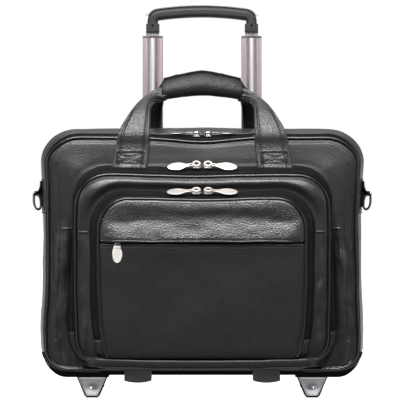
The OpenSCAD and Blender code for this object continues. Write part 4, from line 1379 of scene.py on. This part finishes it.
def pull_shape(lean, droop, length=39.0, wide=6.2, root=4.4, neck=2.2):
    """A teardrop plate on a narrow neck, which ends in an eye round the slider's crown ring."""
    stations, ring = 26, 24
    start = root + 4.6
    t = np.sin(np.linspace(0, np.pi / 2, stations))
    x = start + (length - start) * t
    h = neck + (wide - neck) * smooth((t - 0.02) / 0.5)
    h = h * np.sqrt(np.clip(1 - np.clip((t - 0.52) / 0.48, 0, 1) ** 2.1, 0, 1))
    a = around(ring)
    y = np.maximum(h, 0.4)[:, None] * squared(np.cos(a), 0.5)
    z = 0.8 * squared(np.sin(a), 0.7)
    heap = Heap()
    heap.add(np.stack([np.repeat(x[:, None], ring, 1), y, np.repeat(z[None], stations, 0)], -1),
             capped(stations, ring))
    heap.add(*loop_ring(root + 3.2, 0, 2.3, 1.9, 0.85, 20, 8))
    V = np.vstack(heap.verts)
    c, s = math.cos(math.radians(droop)), math.sin(math.radians(droop))
    V = np.column_stack([V[:, 0] * c + V[:, 1] * s, V[:, 1] * c - V[:, 0] * s, V[:, 2]])
    heap.verts = [tilted(V, lean)]
    return heap


def hang(heap, name, material, node, origin, X, Y, Z):
    """Builds a metal piece in the frame of its joint, in place of its node."""
    V = local(np.vstack(heap.verts), origin, X, Y, Z)
    ob = add_mesh(name, V, heap.faces, material, node, "bright_metal", (node,))
    if np.dot(np.cross(X, Y), Z) < 0:
        ob.data.flip_normals()


def joint_of(node):
    """The joint a node hangs on, and its place in mm."""
    j = next(j for j in frame["joints"] if j["child"] == node)
    return j, np.array(j["pos_m"]) * 1000


# For each zip: how far its pulls lean out and droop, in degrees, how far they stand off, and their metal.
ZIP_PULLS = {
    "main": (0, 0, -3.3, M_RING),
    "pocket1": (34, 7, 1.2, M_NICKEL),
    "pocket2": (12, 6, 0.4, M_NICKEL)}
for zip_name, (lean, droop, off, look) in ZIP_PULLS.items():
    for side, tag in SIDES:
        pull = "%s_pull_%s" % (zip_name, tag)
        slider = "%s_slider_%s" % (zip_name, tag)
        j, pos = joint_of(pull)
        Y = np.array(j["axis"], float)
        X = np.array([float(side), 0, 0])
        Z = np.array([0, -Y[2], Y[1]])
        at = pos + off * Z
        hang(slider_shape(lean), zip_name + "_zip_slider_" + tag, look, slider, at - PIVOT * Z, X, Y, Z)
        hang(pull_shape(lean, droop), zip_name + "_zip_pull_" + tag, look, pull, at, X, Y, Z)

# The slip pull uses the lightened nickel: painted reflection.
pos = joint_of("slip_pull")[1]
down, across = np.array([0, 0, -1.0]), np.array([1.0, 0, 0])
hang(pull_shape(0, 0, 28.4, 6.7, -2.4, 4.2), "slip_zip_pull", M_LIT_NICKEL, "slip_pull", pos + FORWARD * 0.8,
     down, across, FORWARD)
heap = Heap()
heap.add(*slab(oval(4.0, 4.2), 1.2, 0.4), shift=(0, 0, -2.4))
heap.add(*tube([(0, -3.4, 0), (0, 3.4, 0)], 0.8, 12))
cheek, faces = slab(oval(1.7, 1.7), 1.1, 0.4)
for y in (-3.0, 3.0):
    heap.add(np.column_stack([cheek[:, 0], cheek[:, 2] + y, cheek[:, 1] * 1.5 - 0.6]), faces)
hang(heap, "slip_zip_slider", M_NICKEL, "slip_slider", pos, down, across, FORWARD)


# ---------------------------------------------------------------- dark discs of painted shade for the screw recesses in the grip sockets

socket_front = box("grip_body")[0][1] - 0.05
socket_z = box("inner_tubes")[1][2] + 8.5
heap = Heap()
hole_shade_disc, faces = slab(oval(1.7, 1.7), 0.5, 0.2)
for side in (-1, 1):
    heap.add(hole_shade_disc[:, [0, 2, 1]], faces, shift=(side * TUBE_X, socket_front, socket_z))
heap.build("grip_screw_hole_shade", M_SHADED_LEATHER, "handle_stage_2", "grip_rubber")


# ---------------------------------------------------------------- bright covers on the stand feet

f_lo, f_hi = box("foot_covers")
FOOT_X = f_hi[0] - 20.0
FOOT_TOP, FOOT_LOW, FOOT_ROUND = 19.4, 8.6, 3.0
z0, z1 = f_lo[2] + 1.4, f_hi[2] + 0.2
line = []
for x, start, end in ((-FOOT_LOW + FOOT_ROUND, 205, 270), (FOOT_LOW - FOOT_ROUND, 270, 335)):
    for a in np.radians(np.linspace(start, end, 8)):
        line.append((x + FOOT_ROUND * math.cos(a), 0, z0 + FOOT_ROUND + FOOT_ROUND * math.sin(a)))
line += [(FOOT_TOP, 0, z1), (-FOOT_TOP, 0, z1), line[0]]
loop = resample(np.array(line), 1.2)[:-1][:, [0, 2]]
mid = np.array([0.0, (z0 + z1) / 2 - 1])
# Rings from the rim inwards, as (size, how far out): a raised rim, then a face with a dish in it.
plate = [(1.0, 0.0), (1.0, 0.9), (0.97, 1.3), (0.93, 1.4), (0.89, 0.9)]
plate += [(size, 0.8) for size in np.linspace(0.84, 0.04, 12)]
heap = Heap()
for side in (-1, 1):
    rings = []
    for size, out in plate:
        q = mid + (loop - mid) * size
        dish = -3.4 * np.exp(-((q[:, 0] - 0.5) / 6.2) ** 2 - ((q[:, 1] - 10.5) / 5.2) ** 2)
        y = f_hi[1] - out + smooth((0.9 - size) / 0.2) * dish
        rings.append(np.column_stack([side * FOOT_X + q[:, 0], y, q[:, 1]]))
    heap.add(np.vstack(rings), capped(len(rings), len(loop)))
heap.build("foot_plates", M_CHROME, "case", "bright_metal", ("foot_covers",))


# ---------------------------------------------------------------- inside

def rounded_block(name, lo, hi, r, look, bulge=0.0):
    """A soft flat pocket: a block with rounded edges whose faces swell a little."""
    cells = 18
    lo, hi = np.array(lo, float), np.array(hi, float)
    c, h = (lo + hi) / 2, (hi - lo) / 2
    thin = int(np.argmin(h))
    a, b = [i for i in range(3) if i != thin]
    u = np.linspace(-1, 1, cells)
    A, B = np.meshgrid(u, u, indexing="ij")
    near = np.minimum(h[a] * (1 - np.abs(A)), h[b] * (1 - np.abs(B)))
    heap = Heap()
    for sign in (-1, 1):
        P = np.zeros((cells, cells, 3))
        P[..., a], P[..., b] = A * (h[a] - 0.3), B * (h[b] - 0.3)
        P[..., thin] = sign * (h[thin] * (0.35 + 0.65 * smooth(near / r)) + bulge * smooth(near / 40))
        heap.add(c + P, grid_faces(cells, cells, flip=sign < 0))
    grid = np.arange(cells * cells).reshape(cells, cells)
    rim = np.concatenate([grid[:, 0], grid[-1, 1:], grid[-2::-1, -1], grid[0, -2:0:-1]]).tolist()
    for p, q in zip(rim, rim[1:] + rim[:1]):
        heap.faces.append([p, q, q + grid.size, p + grid.size])
    return heap.build(name, *look)


CASE_LINING = (M_LINING, "case", "lining")
PANEL_LINING = (M_LINING, "front_panel", "lining")
(sx0, sy0, sz0), (sx1, sy1, sz1) = box("laptop_sleeve")
rounded_block("sleeve_front", (sx0, sy0, sz0), (sx1, sy0 + 4, sz1), 6,
              (*CASE_LINING, ("laptop_sleeve",)), 0.6)
for side, tag in SIDES:
    x0, x1 = sorted((side * sx1, side * (sx1 - 4)))
    rounded_block("sleeve_side_" + tag, (x0, sy0 + 3, sz0), (x1, sy1, sz1), 3, CASE_LINING)
rounded_block("sleeve_floor", (sx0, sy0 + 3, sz0), (sx1, sy1, sz0 + 4), 3, CASE_LINING)
o_lo, o_hi = box("organizer")
rounded_block("organizer_panel", (o_lo[0], PANEL_Y - 3, o_lo[2]), (o_hi[0], PANEL_Y, o_hi[2]), 4,
              (*PANEL_LINING, ("organizer",)))
for k, x in enumerate((60, 78, 96)):
    ring = [(x + 7.4 * math.sin(q), PANEL_Y - 4.6 - 3.5 * math.cos(q)) for q in np.linspace(-2.0, 2.0, 14)]
    V = np.array([[(p[0], p[1], z) for p in ring] for z in np.linspace(176, 219, 6)])
    pen_loop = add_mesh("pen_loop_%d" % (k + 1), V, grid_faces(*V.shape[:2]), *PANEL_LINING)
    solidify(pen_loop, 1.2, 0.0)


# ---------------------------------------------------------------- floor, light and camera

def stage_material():
    mat, tree, bsdf, vec = new_material("pale_floor")
    tint = noise_tex(tree, vec, 3.0, 2.0)
    # The floor glows white from just behind the case backwards, a painted glow, and not in front of it.
    back = add_node(tree, "ShaderNodeSeparateXYZ", {"Vector": vec}).outputs[1]
    plug(tree, bsdf, {
        "Base Color": ramp(tree, tint, (0.3, 0.90, 0.90, 0.90), (0.7, 0.92, 0.92, 0.92)), "Roughness": 0.9,
        "Emission Color": (1, 1, 1, 1), "Emission Strength": remap(tree, back, 0.0, 1.0, -0.14, -0.06),
        "Specular IOR Level": 0.0})
    return mat


FLOOR_HALF, FLOOR_Z = 14.0, -0.0004
me = bpy.data.meshes.new("floor")
corners = [(x * FLOOR_HALF, y * FLOOR_HALF, FLOOR_Z) for x, y in ((-1, -1), (1, -1), (1, 1), (-1, 1))]
me.from_pydata(corners, [], [(0, 1, 2, 3)])
floor = place("floor", me)
me.materials.append(stage_material())

ROOM_DARK, ROOM_LIGHT = 0.06, 0.42
WHITE = (1, 1, 1, 1)
world = bpy.data.worlds.new("studio")
world.use_nodes = True
sky = world.node_tree
sky.nodes.clear()
direction = sky.nodes.new("ShaderNodeTexCoord").outputs["Generated"]
where = add_node(sky, "ShaderNodeSeparateXYZ", {"Vector": direction})
glow = remap(sky, where.outputs[1], ROOM_DARK, ROOM_LIGHT, -0.3, 0.7)
room = add_node(sky, "ShaderNodeBackground", {"Color": WHITE, "Strength": glow})
paper = add_node(sky, "ShaderNodeBackground", {"Color": WHITE, "Strength": 1.0})
seen = sky.nodes.new("ShaderNodeLightPath").outputs["Is Camera Ray"]
both = add_node(sky, "ShaderNodeMixShader", {0: seen, 1: room.outputs[0], 2: paper.outputs[0]})
sky.links.new(both.outputs[0], sky.nodes.new("ShaderNodeOutputWorld").inputs[0])
bpy.context.scene.world = world


def area_light(name, at, target, size, power, size_y=None):
    data = bpy.data.lights.new(name, "AREA")
    data.energy = power
    data.size = size
    if size_y:
        data.shape = "RECTANGLE"
        data.size_y = size_y
    ob = place(name, data)
    ob.location = at
    aim = mathutils.Vector(target) - mathutils.Vector(at)
    ob.rotation_euler = aim.to_track_quat("-Z", "Y").to_euler()
    return ob


key = area_light("key", (-0.12, -1.22, 1.62), (0, -0.05, 0.27), 1.5, 112.0, 0.6)
area_light("floor_light", (0.0, 1.1, 2.3), (0, 1.1, 0), 2.6, 26.0, 1.4)
fills = [area_light("fill_left", (-2.0, -0.6, 0.75), (0, 0, 0.25), 0.9, 14.0),
         area_light("fill_right", (2.0, -0.6, 0.75), (0, 0, 0.25), 0.9, 12.0)]
# The floor has a light of its own, so the others leave it out.
only = bpy.data.collections.new("lit_by_the_softboxes")
only.objects.link(floor)
only.collection_objects[0].light_linking.link_state = "EXCLUDE"
for lamp in [key] + fills:
    lamp.light_linking.receiver_collection = only

EYE_HEIGHT, EYE_DISTANCE = 0.270, 2.300
cam_data = bpy.data.cameras.new("camera")
cam_data.lens = 150
cam_data.sensor_width = 36
cam = place("camera", cam_data)
cam.location = (-0.003, -EYE_DISTANCE, EYE_HEIGHT)
cam.rotation_euler = (math.radians(90), 0, 0)
bpy.context.scene.camera = cam
bpy.context.scene.view_settings.view_transform = "Standard"
